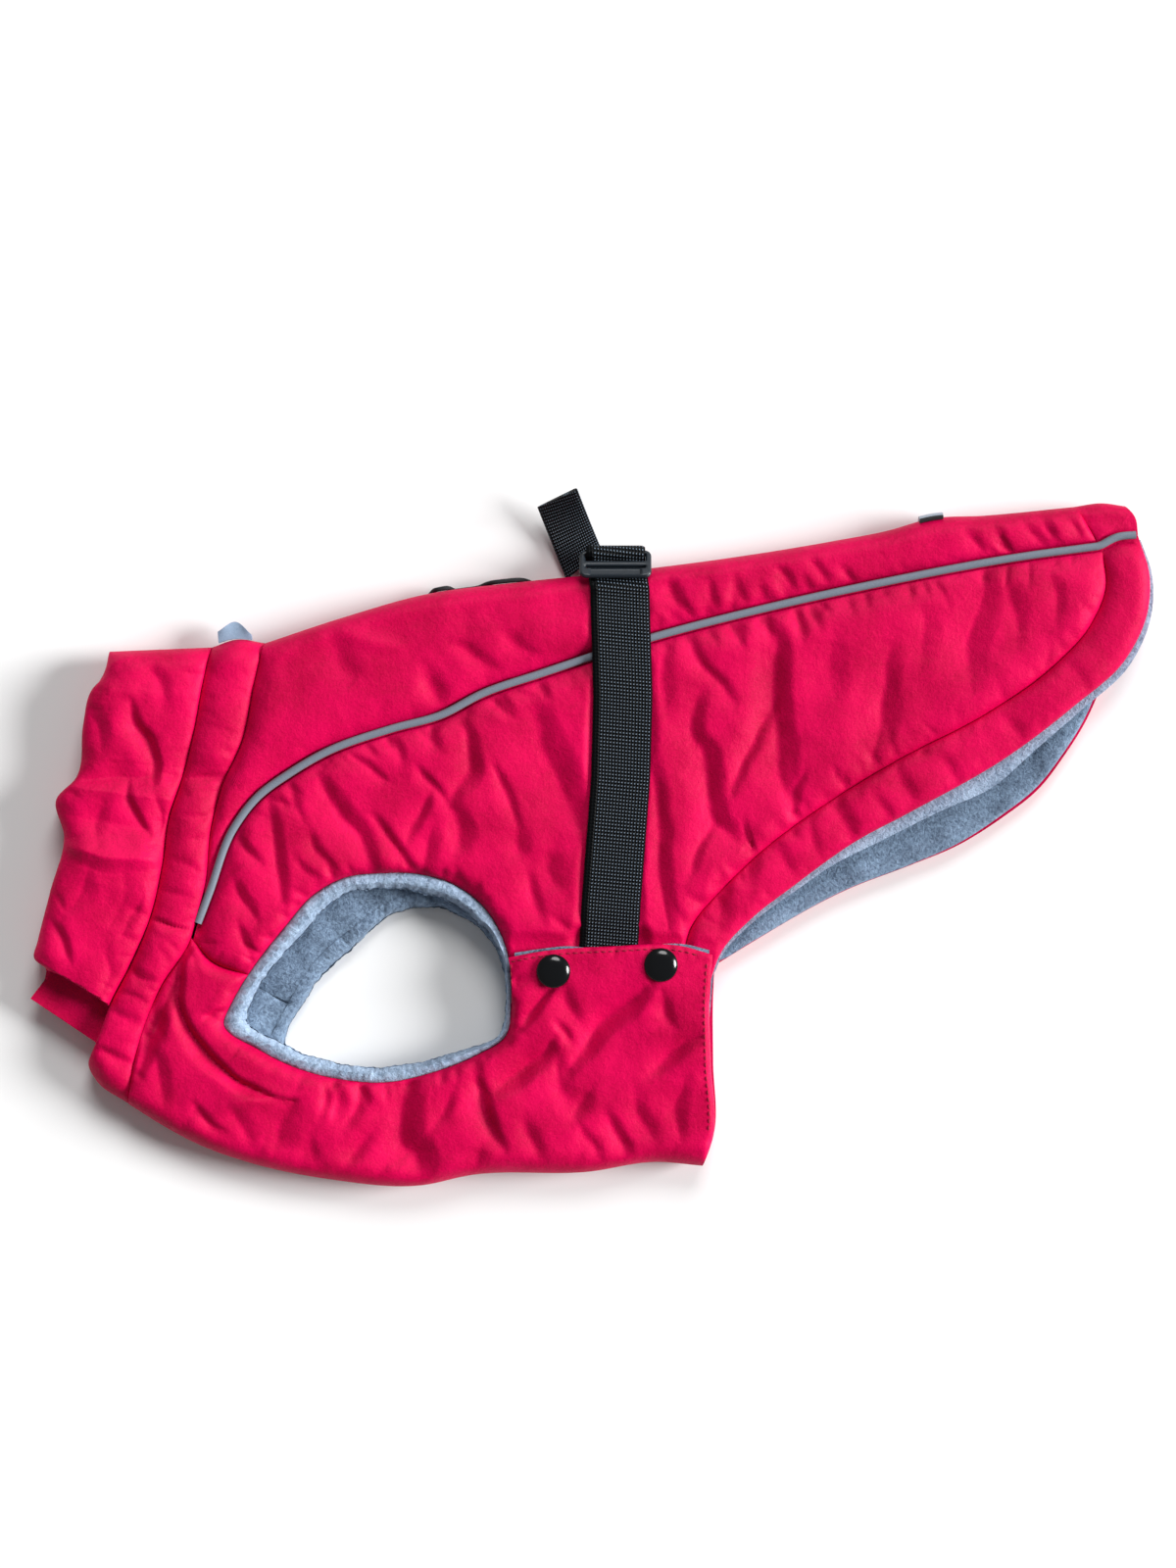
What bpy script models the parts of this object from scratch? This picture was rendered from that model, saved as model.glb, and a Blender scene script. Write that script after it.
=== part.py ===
"""Padded dog winter coat, size M, lying flat on its right side.

X runs from the head (-) to the tail (+), Y from the belly (-) to the spine (+), Z up.
Tables and sizes are in millimetres; meshes are written in metres.
Each panel is laid out between its own edges seen from above (its plan) and gets its
height from the padding between its seams. The origin is under the middle of the coat.
"""

import bpy
import bmesh
import numpy as np
from math import pi, radians

MM = 0.001

# Seams and cloth
SEAM_GAP = 0.3            # clear distance between two pieces
MIDDLE = 10.0             # height of the plane between the coat's two sides
LINING_ROOM = 3.3         # from that plane to the shell's inner face
FOLD_ROOM = 1.2           # the same, inside a fold
LINING_NEAR = 0.6         # from that plane to the fleece's inner face
LINING_FAR = 3.0          # from that plane to the fleece's outer face
PUFF = 11.0               # from that plane to the top of the padding
SEAM_LEFT = 6.0           # from that plane to a seam of the upper side
SEAM_RIGHT = 4.6          # the same on the side that lies on the floor
SHOULDER = 13.0           # how far from a seam the padding reaches its height
HEM_PUFF = 9.4            # top of the padding in a hem band
HEM_SHOULDER = 7.0
HEM_EDGE = 5.0            # from the middle plane to the outer corner of a hem's free edge
FOLD_RADIUS = 10.0        # outer radius of the spine and belly folds
CROWN = 20.0              # from a fold, the width in which the padding swells to its full height
CALM = 12.0               # from a fold, the width in which the pressed folds begin
TAIL_RADIUS = 7.0         # the same at the tail end of the hem band
PIPING_SHELF = 2.1        # flat strip beside a seam, where the piping lies
END_SHELF = 3.4           # the same where the piping crosses the hem band
END_RISE = 1.5            # how far a folded panel may rise at its end seams
PIPING_RADIUS = 1.4
PIPING_CLEAR = 0.45       # from the seam's height to the piping
PIPING_OVER_HEM = (0.08, 0.92)  # shares of the hem band's width between which the piping crosses it
TUBE_ROOM = 1.5           # half the room inside the pressed collar and neck band
TUBE_WALL = 7.5           # their wall at the folds
TUBE_SHOULDER = 0.225     # share of their width in which the padding rises from a seam
BINDING_LEFT = (10.4, 18.4)     # lowest and highest point of the upper leg hole's binding
BINDING_RIGHT = (0.3, 9.7)      # the same of the lower one

# Closing flap and webbing
FLAP_ROOM = 10.3          # from the middle plane to the flap's inner face
FLAP_WALL = 3.2
FLAP_STEP = (-72.0, -65.5)      # the belly panel rises to the flap between these Y
FLAP_START = (-62.0, -42.0)     # and between these X
FLAP_FREE = (-42.0, -28.0)      # the side panel comes out from under it between these Y
FLAP_LINING = (8.9, 10.0)
UNDER_FLAP_TOP = 6.6      # what lies under the flap is pressed down to this height
WEBBING_WIDTH = 25.0
WEBBING_THICKNESS = 1.6
SNAP_RADIUS = 7.2
SNAP_HEIGHT = 3.2
SNAP_PROFILE = [(0, SNAP_HEIGHT), (0.45, 3), (0.8, 2.2), (0.95, 1.3), (1, 0.6), (0.96, 0),
                (0, 0)]   # share of the radius, height
SNAPS = {"snap_cap_front": (-15, -55.8), "snap_cap_rear": (30.4, -53.2)}

# Plans: each row is x, y. Rows run from head to tail or from spine to belly.
SPINE = [(-137.9, 83.2), (-104.6, 94.2), (-68.8, 104.2), (-30, 109.2), (13, 113.6), (58, 119.3),
         (103.8, 126.7), (128, 131.4), (145, 136.2), (168.8, 137.6), (206, 141.2)]
SPINE_HEM = [(206, 141.2), (218, 142.8), (228, 141.5)]
PIPING = [(-166.4, -37.3), (-160.9, -22.6), (-150.8, 4.2), (-140.8, 17.5), (-126.2, 28.3), (-111.7, 36.7),
          (-83.8, 46.7), (-62.9, 52.5), (-45, 61.7), (-20.8, 70), (26.7, 85.4), (71.7, 97.1),
          (124.6, 108.8), (182.9, 119.6), (216.5, 124.2)]
PIPING_HEM = [(216.5, 124.2), (224, 128), (233, 129)]
BAND_SEAM = [(-137.9, 83.2), (-142.1, 65.8), (-147, 42), (-155.4, 23), (-160.4, 4.2), (-162.9, -20.4),
             (-167.4, -37), (-168.8, -42), (-181.7, -62.9), (-193.3, -96.7), (-195.8, -112.9)]
BACK_ROW = 5              # row of BAND_SEAM where the back panel starts
CHEST_ROW = 7             # row of BAND_SEAM where the chest panel starts
LINING_ROWS = (1, 9)      # rows of BAND_SEAM where the linings end
BELLY_FOLD = [(-195.8, -112.9), (-181.2, -122.1), (-165.4, -130.4), (-144.2, -137.9), (-110, -145),
              (-71.2, -147.5), (-50.4, -143.2), (0, -141.7), (27.9, -137.6), (48.3, -139.2)]
SIDE_CORNER = (-168, -42.9)     # where the side panels' own edge starts, below the piping
CHEST_SEAM_LEFT = [(-168.8, -42), (-160, -52), (-145, -57.5), (-120, -62), (-90, -63), (-62, -61)]
CHEST_SEAM_RIGHT = [(-168.8, -42), (-158, -54), (-139, -64.5), (-122, -72), (-95, -74), (-62, -66)]
FLAP_TOP = [(-36, -50.5), (-20.8, -47.6), (9, -45.4), (40, -45.4), (52.4, -49)]
FLAP_SIDE = [(48.3, -139.2), (52.6, -127), (51.8, -95), (51.2, -69), (52.4, -49)]
FLAP_SIDE_RIGHT = [(48.3, -139.2), (53.0, -127), (53.0, -95), (52.9, -70), (53.6, -53.5)]
UNDER_FLAP = [(-35, -63.5), (0, -63.5), (38, -63.5)]
SIDE_SEAM_RIGHT = [(-36, -53.5), (0, -53.5), (44, -53.5)]
BELLY_SEAM_RIGHT = [(-36, -53.5), (10, -53.5), (53.6, -53.5)]
GROOVE_LEFT = [(38, -63.5), (44, -36.5), (57.9, -20), (74.6, -4.2), (97.1, 12.5), (131.7, 33.8),
               (168.8, 53.3), (196.7, 72.9), (213, 91), (219.4, 107), (218.2, 120.2)]
GROOVE_RIGHT = [(44, -53.5), (62, -29), (101, -6), (129, 6), (149, 14.5), (165, 25), (179, 37),
                (194, 58), (205, 78), (215, 101), (217.2, 120.2)]
GROOVE_TOP = [(216.5, 124.2), (211.5, 133), (206, 141.2)]
HEM_LEFT = [(51, -62), (56, -48.5), (70, -33), (85.8, -20.8), (113.8, -0.8), (136.2, 11.2),
            (177.9, 35), (205.8, 56.2), (227.5, 75.8), (237.3, 97), (238, 112), (233, 129)]
HEM_RIGHT = [(55.6, -52.8), (69.2, -44.4), (110.4, -21.6), (136.8, -11.4), (157, -3), (176, 8.8),
             (192, 21.5), (202.5, 35.2), (211, 48.6), (219, 66), (230, 90), (236, 108), (233, 129)]
HEM_TOP = [(233, 129), (232, 136), (228, 141.5)]
LINING_HEM_LEFT = [(38, -63.5), (50, -61.5), (57.5, -48), (71.5, -34), (88, -22), (104, -11), (124, -1),
                   (150, 12), (171, 21.5), (190, 38), (209, 54.4), (230, 74), (239.2, 96), (239.4, 112),
                   (234.4, 127)]
LINING_HEM_RIGHT = [(44, -53.5), (54.7, -51.4), (68.7, -43.3), (109.8, -20.6), (136.2, -10.4), (156.4, -2),
                    (175.2, 9.6), (191, 22.2), (201.6, 35.8), (210, 49), (218, 66.4), (229, 90.2),
                    (234.8, 108), (232, 127)]
LINING_SPINE = [(-142.1, 65.8), (-104, 80), (-68, 90), (-30, 95.2), (13, 99.6), (58, 105.2),
                (103.8, 112.6), (145, 121.6), (168.8, 123.6), (206, 127.2), (225, 127.6)]
LINING_BELLY = [(-193.3, -96.7), (-178, -106), (-162, -115), (-141, -123.5), (-108, -130.5),
                (-71, -132.5), (-50, -128.5), (0, -127), (28, -123), (47, -123)]
CHEST_LINING_TOP = [(-40, -72), (0, -72), (49.5, -72)]
CHEST_LINING_TOP_RIGHT = [(-36, -55), (10, -54.5), (53.4, -54)]
COLLAR_SEAM = [(-160.4, 81.4), (-164.2, 64.2), (-167.9, 43.8), (-172.9, 25), (-177.9, 10),
               (-180.8, -10.4), (-186.2, -33.8), (-195, -54.2), (-202.9, -69.2), (-208.8, -87.2)]
COLLAR_EDGE = [(-203.8, 79.6), (-206, 69), (-211, 63), (-214.6, 48.3), (-217.5, 26), (-226, 16.5),
               (-222.6, 1), (-228.3, -22.1), (-235.8, -48.8), (-231, -57.5), (-237.5, -68)]
BAND_SPINE = [(-137.9, 83.2), (-149.6, 84.8), (-160.4, 81.4)]
BAND_THROAT = [(-195.8, -112.9), (-209.6, -103), (-213, -96), (-208.8, -87.2)]

# Half heights of the tubes: share of the way from spine to throat, half height.
COLLAR_HEIGHT = [(0, 11), (0.12, 12), (0.3, 10.8), (0.38, 12.8), (0.46, 11.4), (0.62, 12.8),
                 (0.85, 12.2), (0.91, 6.2), (1, 5.6)]
BAND_HEIGHT = [(0, 10.4), (0.25, 11), (0.3, 10), (0.4, 11), (0.7, 11.2), (0.86, 10.2), (1, 9.4)]

# Leg holes: x, y of the binding's outer edge, width of the binding.
LEG_HOLE_LEFT = [(-155, -78.3, 10), (-151.2, -69, 8.5), (-144.2, -57.1, 7.5), (-128.8, -37.1, 8),
                 (-117, -23.8, 8), (-104, -16.6, 6.5), (-88, -14.6, 6.8), (-72, -15, 7.6),
                 (-57.5, -19.2, 8), (-45, -28.4, 7), (-37.1, -40.8, 4), (-33.6, -53, 2.8),
                 (-33, -70, 2.6), (-35.5, -84, 3), (-47.5, -91.7, 5), (-66.7, -99.2, 6),
                 (-85.8, -103.3, 6.5), (-105, -102.1, 7), (-122, -98, 7.5), (-140, -89.5, 8.5)]
LEG_HOLE_RIGHT = [(-136.5, -92, 8), (-128, -70, 7), (-114.5, -49.5, 7), (-101, -38, 7), (-80, -24.4, 7),
                  (-65.5, -23, 7), (-50.5, -27.8, 7), (-37.5, -38, 7), (-30.5, -52, 7), (-28.5, -70, 7),
                  (-33, -89, 7), (-49, -99, 7), (-67, -104, 7), (-88, -106, 7), (-114, -102.5, 7)]
LEG_HOLE_CENTRE = (-88, -64)
HOLE_POINTS = 34

DEEPEST_FOLD = 3.6        # where soft folds cross
# Soft folds pressed into the top: x, y of one end, x, y of the other, half width, depth.
FOLDS = [(-92, 40, -62, -10, 7, 2.6), (-60, 45, -34, 8, 7, 2.2), (-150, -5, -128, -30, 6, 2.4),
         (-112, 25, -96, -6, 7, 2.2), (62, 62, 74, -2, 8, 3), (96, 92, 101, 22, 8, 2.4),
         (48, 72, 44, 8, 7, 2.4), (150, 92, 158, 58, 9, 2), (-190, -66, -166, -84, 6, 2),
         (-171, -54, -168, -70, 5, 3), (-166, -76, -148, -94, 5, 3.4), (-148, -94, -122, -107, 5, 3),
         (-66, -106, -82, -140, 6, 2.4), (-10, -72, -34, -96, 7, 2.4), (28, -76, -8, -96, 7, 2),
         (-44, -112, -56, -138, 6, 2.4), (-120, 62, -60, 74, 8, 1.6), (-218, 22, -186, 20, 6, 2.4),
         (-222, -4, -188, -12, 6, 2), (-170, 24, -158, 26, 4, 2)]

# Webbing: y, z of its centre line, from under the flap up to the buckle, then from the buckle's far
# bar round the spine fold to the far side seam. Between them it is threaded through the buckle:
# distance along the buckle from its middle bar, distance above the buckle.
STRAP_RISE = [(-60, 17.4), (-48, 17.4), (-43.5, 17.6), (-37, 19.1), (-31, 20.4), (-24, 20.8),
              (40, 20.8), (90, 20.8), (103, 20.8)]
STRAP_THREAD = [(-9, -2.7), (-5.8, -2.7), (-2.5, -2.7), (0.2, -2.7), (2.1, -1.9), (3, -0.1), (3.5, 1.6),
                (4.6, 2.7), (6, 2.9), (7.5, 2.3), (8.5, 0.6), (8.7, -2)]
STRAP_RETURN = [(120.3, 8.2), (116.8, 4.3), (112, 1.9), (106, 0.95), (98, 0.9), (20, 0.9), (-51, 0.9)]
STRAP_LINE = [(7.6, -60), (9.4, -27), (13.4, 25), (14.4, 61), (13.3, 97), (13.1, 106), (11.4, 117),
              (11.3, 124)]
BUCKLE_CENTRE = (11.2, 116.4, 18.8)
BUCKLE_TILT = radians(-34)
BUCKLE_BAR = 2.2
BUCKLE_PITCH = 5.8        # from one bar to the next
BUCKLE_LENGTH = 30.5
BUCKLE_CORNER = 2.0
SLOT_CORNER = 0.5
SLOT_PLAY = 1.0           # how much longer a slot is than the webbing is wide
TAIL_ROOT = ((-9.6, 110.4, 2.4), (5.4, 123.4, 3.6))
TAIL_END = ((-22, 141.2, 8.6), (-5, 148.2, 22.4))
TAIL_SAG = (1.5, 4.5)     # of its two edges, in the middle of its length
TAB_BASE = [(-157.5, 84.4), (-150, 85.4), (-142.8, 84.6)]
TAB_TOP = [(-157.9, 88), (-150.4, 92.3), (-143.5, 86.8)]
TAB_HEIGHT = (9.0, 12.0)
FOLD_SLANT = 0.85
LEASH_CENTRE_X = -46.5
LEASH_HALF_LENGTH = 22.0
LEASH_RADIUS = 0.7
LEASH_HUMPS = [(-62.9, 4.2), (-35.6, 9.0)]     # x and half width of each
LEASH_PLACE = radians(-43)      # angle round the spine fold, where 0 is outermost
LEASH_OPEN = radians(9.5)       # half the angle between the trim's two edges
LEASH_RISE = radians(32)        # how far a hump climbs
LOOP_X = (140.4, 150.4)
LOOP_ANGLES = (radians(-35), radians(30))
LOOP_THICKNESS = 1.2


# Curves and plans

def trace(table, first=0, last=None):
    """Smooth curve through a table's rows, from one row to another, as a function of its share."""
    last = len(table) - 1 if last is None else last
    dense = trace_rows(table, 40)[40 * first:40 * last + 1]
    length = np.concatenate([[0], np.cumsum(np.linalg.norm(np.diff(dense, axis=0), axis=1))])
    length = length / length[-1]
    return lambda share: np.stack([np.interp(share, length, column) for column in dense.T], axis=-1)


def trace_rows(table, steps):
    """Points of the smooth curve through a table's rows, so many steps from each row to the next."""
    rows = np.array(table, float)
    knots = np.concatenate([[0], np.cumsum(np.linalg.norm(np.diff(rows, axis=0), axis=1))])
    slopes = np.gradient(rows, knots, axis=0)
    place = np.arange(steps * (len(rows) - 1) + 1) / steps
    row = np.minimum(place.astype(int), len(rows) - 2)
    t = (place - row)[:, None]
    span = (knots[row + 1] - knots[row])[:, None]
    return ((1 + 2 * t) * (1 - t) ** 2 * rows[row] + t * (1 - t) ** 2 * span * slopes[row]
            + t * t * (3 - 2 * t) * rows[row + 1] + t * t * (t - 1) * span * slopes[row + 1])


def line(start, end):
    """Straight edge between two points, as a function of the share of its length."""
    start, end = np.array(start, float), np.array(end, float)
    return lambda share: start + np.asarray(share)[..., None] * (end - start)


def joined(*edges):
    """Several edges run one after another, each given with the share of the whole at which it ends."""
    def point(share):
        share = np.asarray(share, float)
        out, begin = np.zeros(share.shape + (2,)), 0.0
        for edge, end in edges:
            inside = (share >= begin) if begin else (share >= -1)
            local = np.clip((share - begin) / (end - begin), 0, 1)
            out = np.where(inside[..., None], edge(local), out)
            begin = end
        return out
    return point


def plan(low, high, left, right, u, v, fade=1):
    """Plan points between four edges: low blended into high, bent at each end by the end edge's own
    departure from straight, which fades with a power of the distance from that end."""
    u, v = np.broadcast_arrays(np.asarray(u, float), np.asarray(v, float))
    a, b = u[..., None], v[..., None]
    bent_left = left(v) - (1 - b) * left(0.0) - b * left(1.0)
    bent_right = right(v) - (1 - b) * right(0.0) - b * right(1.0)
    return (1 - b) * low(u) + b * high(u) + (1 - a) ** fade * bent_left + a ** fade * bent_right


def spread(count, bunch=0.5):
    """Shares from 0 to 1, closer together at both ends."""
    t = np.linspace(0, 1, count + 1)
    return (1 - bunch) * t + bunch * (1 - np.cos(pi * t)) / 2


def arc(x):
    """Quarter ellipse: 0 at 0, 1 from 1 on."""
    return np.sqrt(1 - (1 - np.clip(x, 0, 1)) ** 2)


def smooth(x):
    x = np.clip(x, 0, 1)
    return x * x * (3 - 2 * x)


def between(x, limits):
    """0 at the first limit, 1 at the second, eased at both."""
    return smooth((x - limits[0]) / (limits[1] - limits[0]))


def edge_distance(points, edge):
    """Distance of plan points from an edge."""
    marks = edge(np.linspace(0, 1, 300))
    return np.sqrt(((points[..., None, :] - marks) ** 2).sum(axis=-1)).min(axis=-1)


def folds(points):
    """Depth of the soft folds at plan points: a rounded trough between two ends, fading out at both."""
    depth = np.zeros(points.shape[:-1])
    for x1, y1, x2, y2, half_width, deep in FOLDS:
        start, run = np.array([x1, y1]), np.array([x2 - x1, y2 - y1])
        share = ((points - start) @ run) / (run @ run)
        off = np.linalg.norm(points - start - np.clip(share, 0, 1)[..., None] * run, axis=-1)
        depth += deep * np.exp(-(off / half_width) ** 2)
    return np.minimum(depth, DEEPEST_FOLD)


def with_height(points, height):
    return np.concatenate([points, np.broadcast_to(height, points.shape[:-1])[..., None]], axis=-1)


# Objects

def material(name, colour, roughness, metallic=0.0):
    made = bpy.data.materials.get(name) or bpy.data.materials.new(name)
    made.use_nodes = True
    shader = made.node_tree.nodes["Principled BSDF"]
    shader.inputs["Base Color"].default_value = (*colour, 1)
    shader.inputs["Roughness"].default_value = roughness
    shader.inputs["Metallic"].default_value = metallic
    return made


def shell_cloth():
    return material("padded shell cloth", (0.73, 0.004, 0.07), 0.55)


def fleece():
    return material("fleece", (0.22, 0.30, 0.42), 0.95)


def reflective_tape():
    return material("reflective tape", (0.24, 0.27, 0.32), 0.35)


def webbing():
    return material("webbing", (0.012, 0.014, 0.018), 0.7)


def black_plastic():
    return material("black plastic", (0.01, 0.01, 0.012), 0.3)


def add(name, mesh, cloth, group):
    mesh.materials.clear()
    mesh.materials.append(cloth)
    mesh.shade_smooth()
    mesh.set_sharp_from_angle(angle=radians(40))
    piece = bpy.data.objects.new(name, mesh)
    group.objects.link(piece)
    return piece


def outward(bm):
    """Turns every face outward."""
    bmesh.ops.recalc_face_normals(bm, faces=bm.faces)
    if bm.calc_volume(signed=True) < 0:
        bmesh.ops.reverse_faces(bm, faces=bm.faces)


def wall(name, outer, inner, cloth, group):
    """Wall between two grids of points: a flat grid, extruded, with its two faces moved into place."""
    rows, columns = outer.shape[:2]
    bm = bmesh.new()
    bmesh.ops.create_grid(bm, x_segments=columns - 1, y_segments=rows - 1, size=1)
    copy = bmesh.ops.extrude_face_region(bm, geom=bm.faces[:], use_keep_orig=True)["geom"]
    inside = {v for v in copy if isinstance(v, bmesh.types.BMVert)}
    for v in bm.verts:
        row = round((v.co.y + 1) / 2 * (rows - 1))
        column = round((v.co.x + 1) / 2 * (columns - 1))
        v.co = (inner if v in inside else outer)[row, column] * MM
    outward(bm)
    mesh = bpy.data.meshes.new(name)
    bm.to_mesh(mesh)
    bm.free()
    return add(name, mesh, cloth, group)


def ring(name, sections, cloth, group):
    """Closed loop of closed sections: a torus primitive with its sections moved into place."""
    around, points = sections.shape[:2]
    bpy.ops.mesh.primitive_torus_add(major_segments=around, minor_segments=points)
    torus = bpy.context.object
    mesh = torus.data
    mesh.name = name
    bpy.data.objects.remove(torus)
    mesh.vertices.foreach_set("co", (sections * MM).astype(np.float32).ravel())
    bm = bmesh.new()
    bm.from_mesh(mesh)
    outward(bm)
    bm.to_mesh(mesh)
    bm.free()
    return add(name, mesh, cloth, group)


def tube(name, points, radius, cloth, group, cyclic=False, sides=1):
    """Round cord along a line of points: a bevelled curve with closed ends."""
    curve = bpy.data.curves.new(name, "CURVE")
    curve.dimensions = "3D"
    curve.bevel_depth = radius * MM
    curve.bevel_resolution = sides
    curve.use_fill_caps = True
    spline = curve.splines.new("POLY")
    spline.points.add(len(points) - 1)
    spline.points.foreach_set("co", np.c_[points * MM, np.ones(len(points))].ravel())
    spline.use_cyclic_u = cyclic
    curve.materials.append(cloth)
    piece = bpy.data.objects.new(name, curve)
    group.objects.link(piece)
    return piece


def cut(piece, cutter):
    """Boolean cut, kept on the piece as a modifier."""
    cutter.hide_render = True
    cutter.display_type = "WIRE"
    change = piece.modifiers.new("cut " + cutter.name, "BOOLEAN")
    change.operation = "DIFFERENCE"
    change.object = cutter


# Panels

TURN = 3                  # segments in a quarter of a fold
FIRST_ROW = 2.5           # from a fold's turn to the first row of its panel
ALONG = spread(30, 0.35)  # columns of the side panels along the piping, from neck band to hem band
BACK_START = 2            # the one of them at which the back panel starts
BACK_CORNER = 0.01        # share of the back panel's lower edge that runs from the band to the piping
BODY_LENGTH = 400.0       # of the side panels, from neck band to hem band
CHEST_LENGTH = 240.0
HEM_LENGTH = 200.0
HALF_GAP = SEAM_GAP / 2
LINING_GAP = 0.5          # from an edge of a lining to the seam it is drawn on
LINING_START = 0.005      # the same at the neck band, as a share of the lining's length
BACK_ROWS = (55, 26, 10)  # rows of the back panel, in mm from the shelf beside its seam
FLAP_ROWS = (24, 16, 7)   # the same of the chest panel, so that the flap can rise
TAIL_ROWS = (2,)          # the same of the hem band at the tail

# Shares of an edge at which its parts end.
SIDE_SHARES = (0.235, 0.295, 0.445)     # chest seam, leg hole, side seam; then the hem
CHEST_SHARES = (0.48, 0.6)              # chest seam, leg hole; then the flap or the side seam
HEM_CORNER = 0.985        # where a hem band's inner edge leaves the side panel
HOLE_CUT = (-5.0, 40.0)   # from under the coat to over it


def clear_of_ends(shares, length):
    """Shares of an edge that leave half a seam gap free at both of its ends."""
    gap = HALF_GAP / length
    return gap + (1 - 2 * gap) * shares


def fold_stations(length, radius, rows):
    """Distances from a fold line: a quarter turn, the flat part, then rows at set distances from the
    seam's shelf, drawn together where the panel is narrow."""
    turn = radius * (1 - np.cos(np.linspace(0, pi / 2, TURN + 1)))
    lead = np.broadcast_to(turn, (length.shape[0], TURN + 1))
    first = np.full_like(length, radius + FIRST_ROW)
    shelf = length - PIPING_SHELF
    scale = np.minimum(1, 0.6 * (shelf - first) / max(rows, default=1))
    near = shelf - scale * np.array(rows)
    return np.concatenate([lead, first, (first + near[:, :1]) / 2, near, shelf, length - HALF_GAP], axis=1)


def folded_half(edges, u, radius, side, rows, lift=None):
    """Outer and inner points of one half of a folded panel, from its seam (low edge) to its fold (high)."""
    low, high = edges[0], edges[1]
    seam = SEAM_LEFT if side > 0 else SEAM_RIGHT
    length = np.linalg.norm(high(u) - low(u), axis=-1)[:, None]
    s = fold_stations(length, radius, rows)
    turning = np.arange(s.shape[1]) <= TURN
    inner_s = np.where(turning, radius - FOLD_ROOM * (radius - s) / radius, s)
    outer_plan = plan(*edges, u[:, None], 1 - s / length)
    inner_plan = plan(*edges, u[:, None], 1 - inner_s / length)
    inner_height = np.where(turning, FOLD_ROOM * arc(s / radius), LINING_ROOM)
    top = radius * arc(s / radius) + (PUFF - radius) * smooth((s - radius) / CROWN)
    if lift is not None:
        raised = lift(inner_plan) * ~turning
        inner_height = inner_height + (FLAP_ROOM - LINING_ROOM) * raised
        top = top + (FLAP_ROOM + FLAP_WALL - top) * raised
        seam = seam + (FLAP_ROOM + FLAP_WALL - 1 - seam) * raised
    rise = arc((edge_distance(outer_plan, low) - PIPING_SHELF) / SHOULDER)
    height = np.where(turning, top, seam + (top - seam) * rise)
    ends = (arc(edge_distance(outer_plan, edges[2]) / SHOULDER)
            * arc(edge_distance(outer_plan, edges[3]) / SHOULDER))
    low_end = np.minimum(height, seam + END_RISE)
    height = low_end + (height - low_end) * ends
    if side > 0:
        height = height - folds(outer_plan) * ends * rise * smooth((s - radius) / CALM)
    outer = with_height(outer_plan, np.maximum(MIDDLE + side * height, 0))
    return outer, with_height(inner_plan, MIDDLE + side * inner_height)


def folded_panel(name, upper, lower, cloth, group):
    """Both halves of a panel, joined along the fold that they share."""
    outer = np.concatenate([upper[0][:, :0:-1], lower[0]], axis=1)
    inner = np.concatenate([upper[1][:, :0:-1], lower[1]], axis=1)
    return wall(name, outer, inner, cloth, group)


def padded_sheet(name, edges, u, rows, side, group, free_edge=False, cover=None):
    """Flat padded panel between four edges: puffed between its seams, its low edge free on a hem."""
    low, high = edges[0], edges[1]
    seam = SEAM_LEFT if side > 0 else SEAM_RIGHT
    puff = HEM_PUFF if free_edge else PUFF
    shoulder = HEM_SHOULDER if free_edge else SHOULDER
    length = np.linalg.norm(high(u) - low(u), axis=-1)[:, None]
    shelf = np.minimum(PIPING_SHELF, 0.3 * length)
    inner_rows = shelf + (length - 2 * shelf) * spread(rows, 0.7)
    near = np.full_like(length, 0.0 if free_edge else HALF_GAP)
    d = np.concatenate([near, inner_rows, length - HALF_GAP], axis=1)
    points = plan(*edges, u[:, None], d / length)
    edge = min(HEM_EDGE, seam) if free_edge else seam
    base = edge + (seam - edge) * d / length
    rise = 1
    for edge_line, flat in zip(edges, (0, PIPING_SHELF, 0, END_SHELF)):
        rise = rise * arc((edge_distance(points, edge_line) - flat) / shoulder)
    height = base + (puff - base) * rise
    if side > 0:
        height = height - folds(points) * rise
    if cover is not None:
        height = np.minimum(height, cover(points))
    outer = with_height(points, np.maximum(MIDDLE + side * height, 0))
    return wall(name, outer, with_height(points, MIDDLE + side * LINING_ROOM), shell_cloth(), group)


def flat_lining(name, edges, u, side, group, heights=(LINING_NEAR, LINING_FAR), rows=3):
    """Fleece sheet of even thickness between four edges."""
    low, high = edges[0], edges[1]
    length = np.linalg.norm(high(u) - low(u), axis=-1)[:, None]
    gap = LINING_GAP / length
    points = plan(*edges, u[:, None], gap + (1 - 2 * gap) * np.linspace(0, 1, rows + 1))
    far, near = MIDDLE + side * heights[1], MIDDLE + side * heights[0]
    return wall(name, with_height(points, far), with_height(points, near), fleece(), group)


def back_panel(group):
    piping, start = trace(PIPING), ALONG[BACK_START]
    last = len(BAND_SEAM) - 1
    seam = trace(BAND_SEAM[::-1], last - BACK_ROW, last)
    low = joined((line(seam(0.0), piping(start)), BACK_CORNER),
                 (lambda share: piping(start + (1 - start) * share), 1))
    beside_piping = BACK_CORNER + (1 - BACK_CORNER) * (ALONG[BACK_START:] - start) / (1 - start)
    u = np.concatenate([[0], beside_piping[:-1], [1 - HALF_GAP / BODY_LENGTH]])
    edges = (low, trace(SPINE), seam, trace(GROOVE_TOP))
    halves = [folded_half(edges, u, FOLD_RADIUS, side, BACK_ROWS) for side in (1, -1)]
    return folded_panel("back_panel", *halves, shell_cloth(), group)


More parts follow.
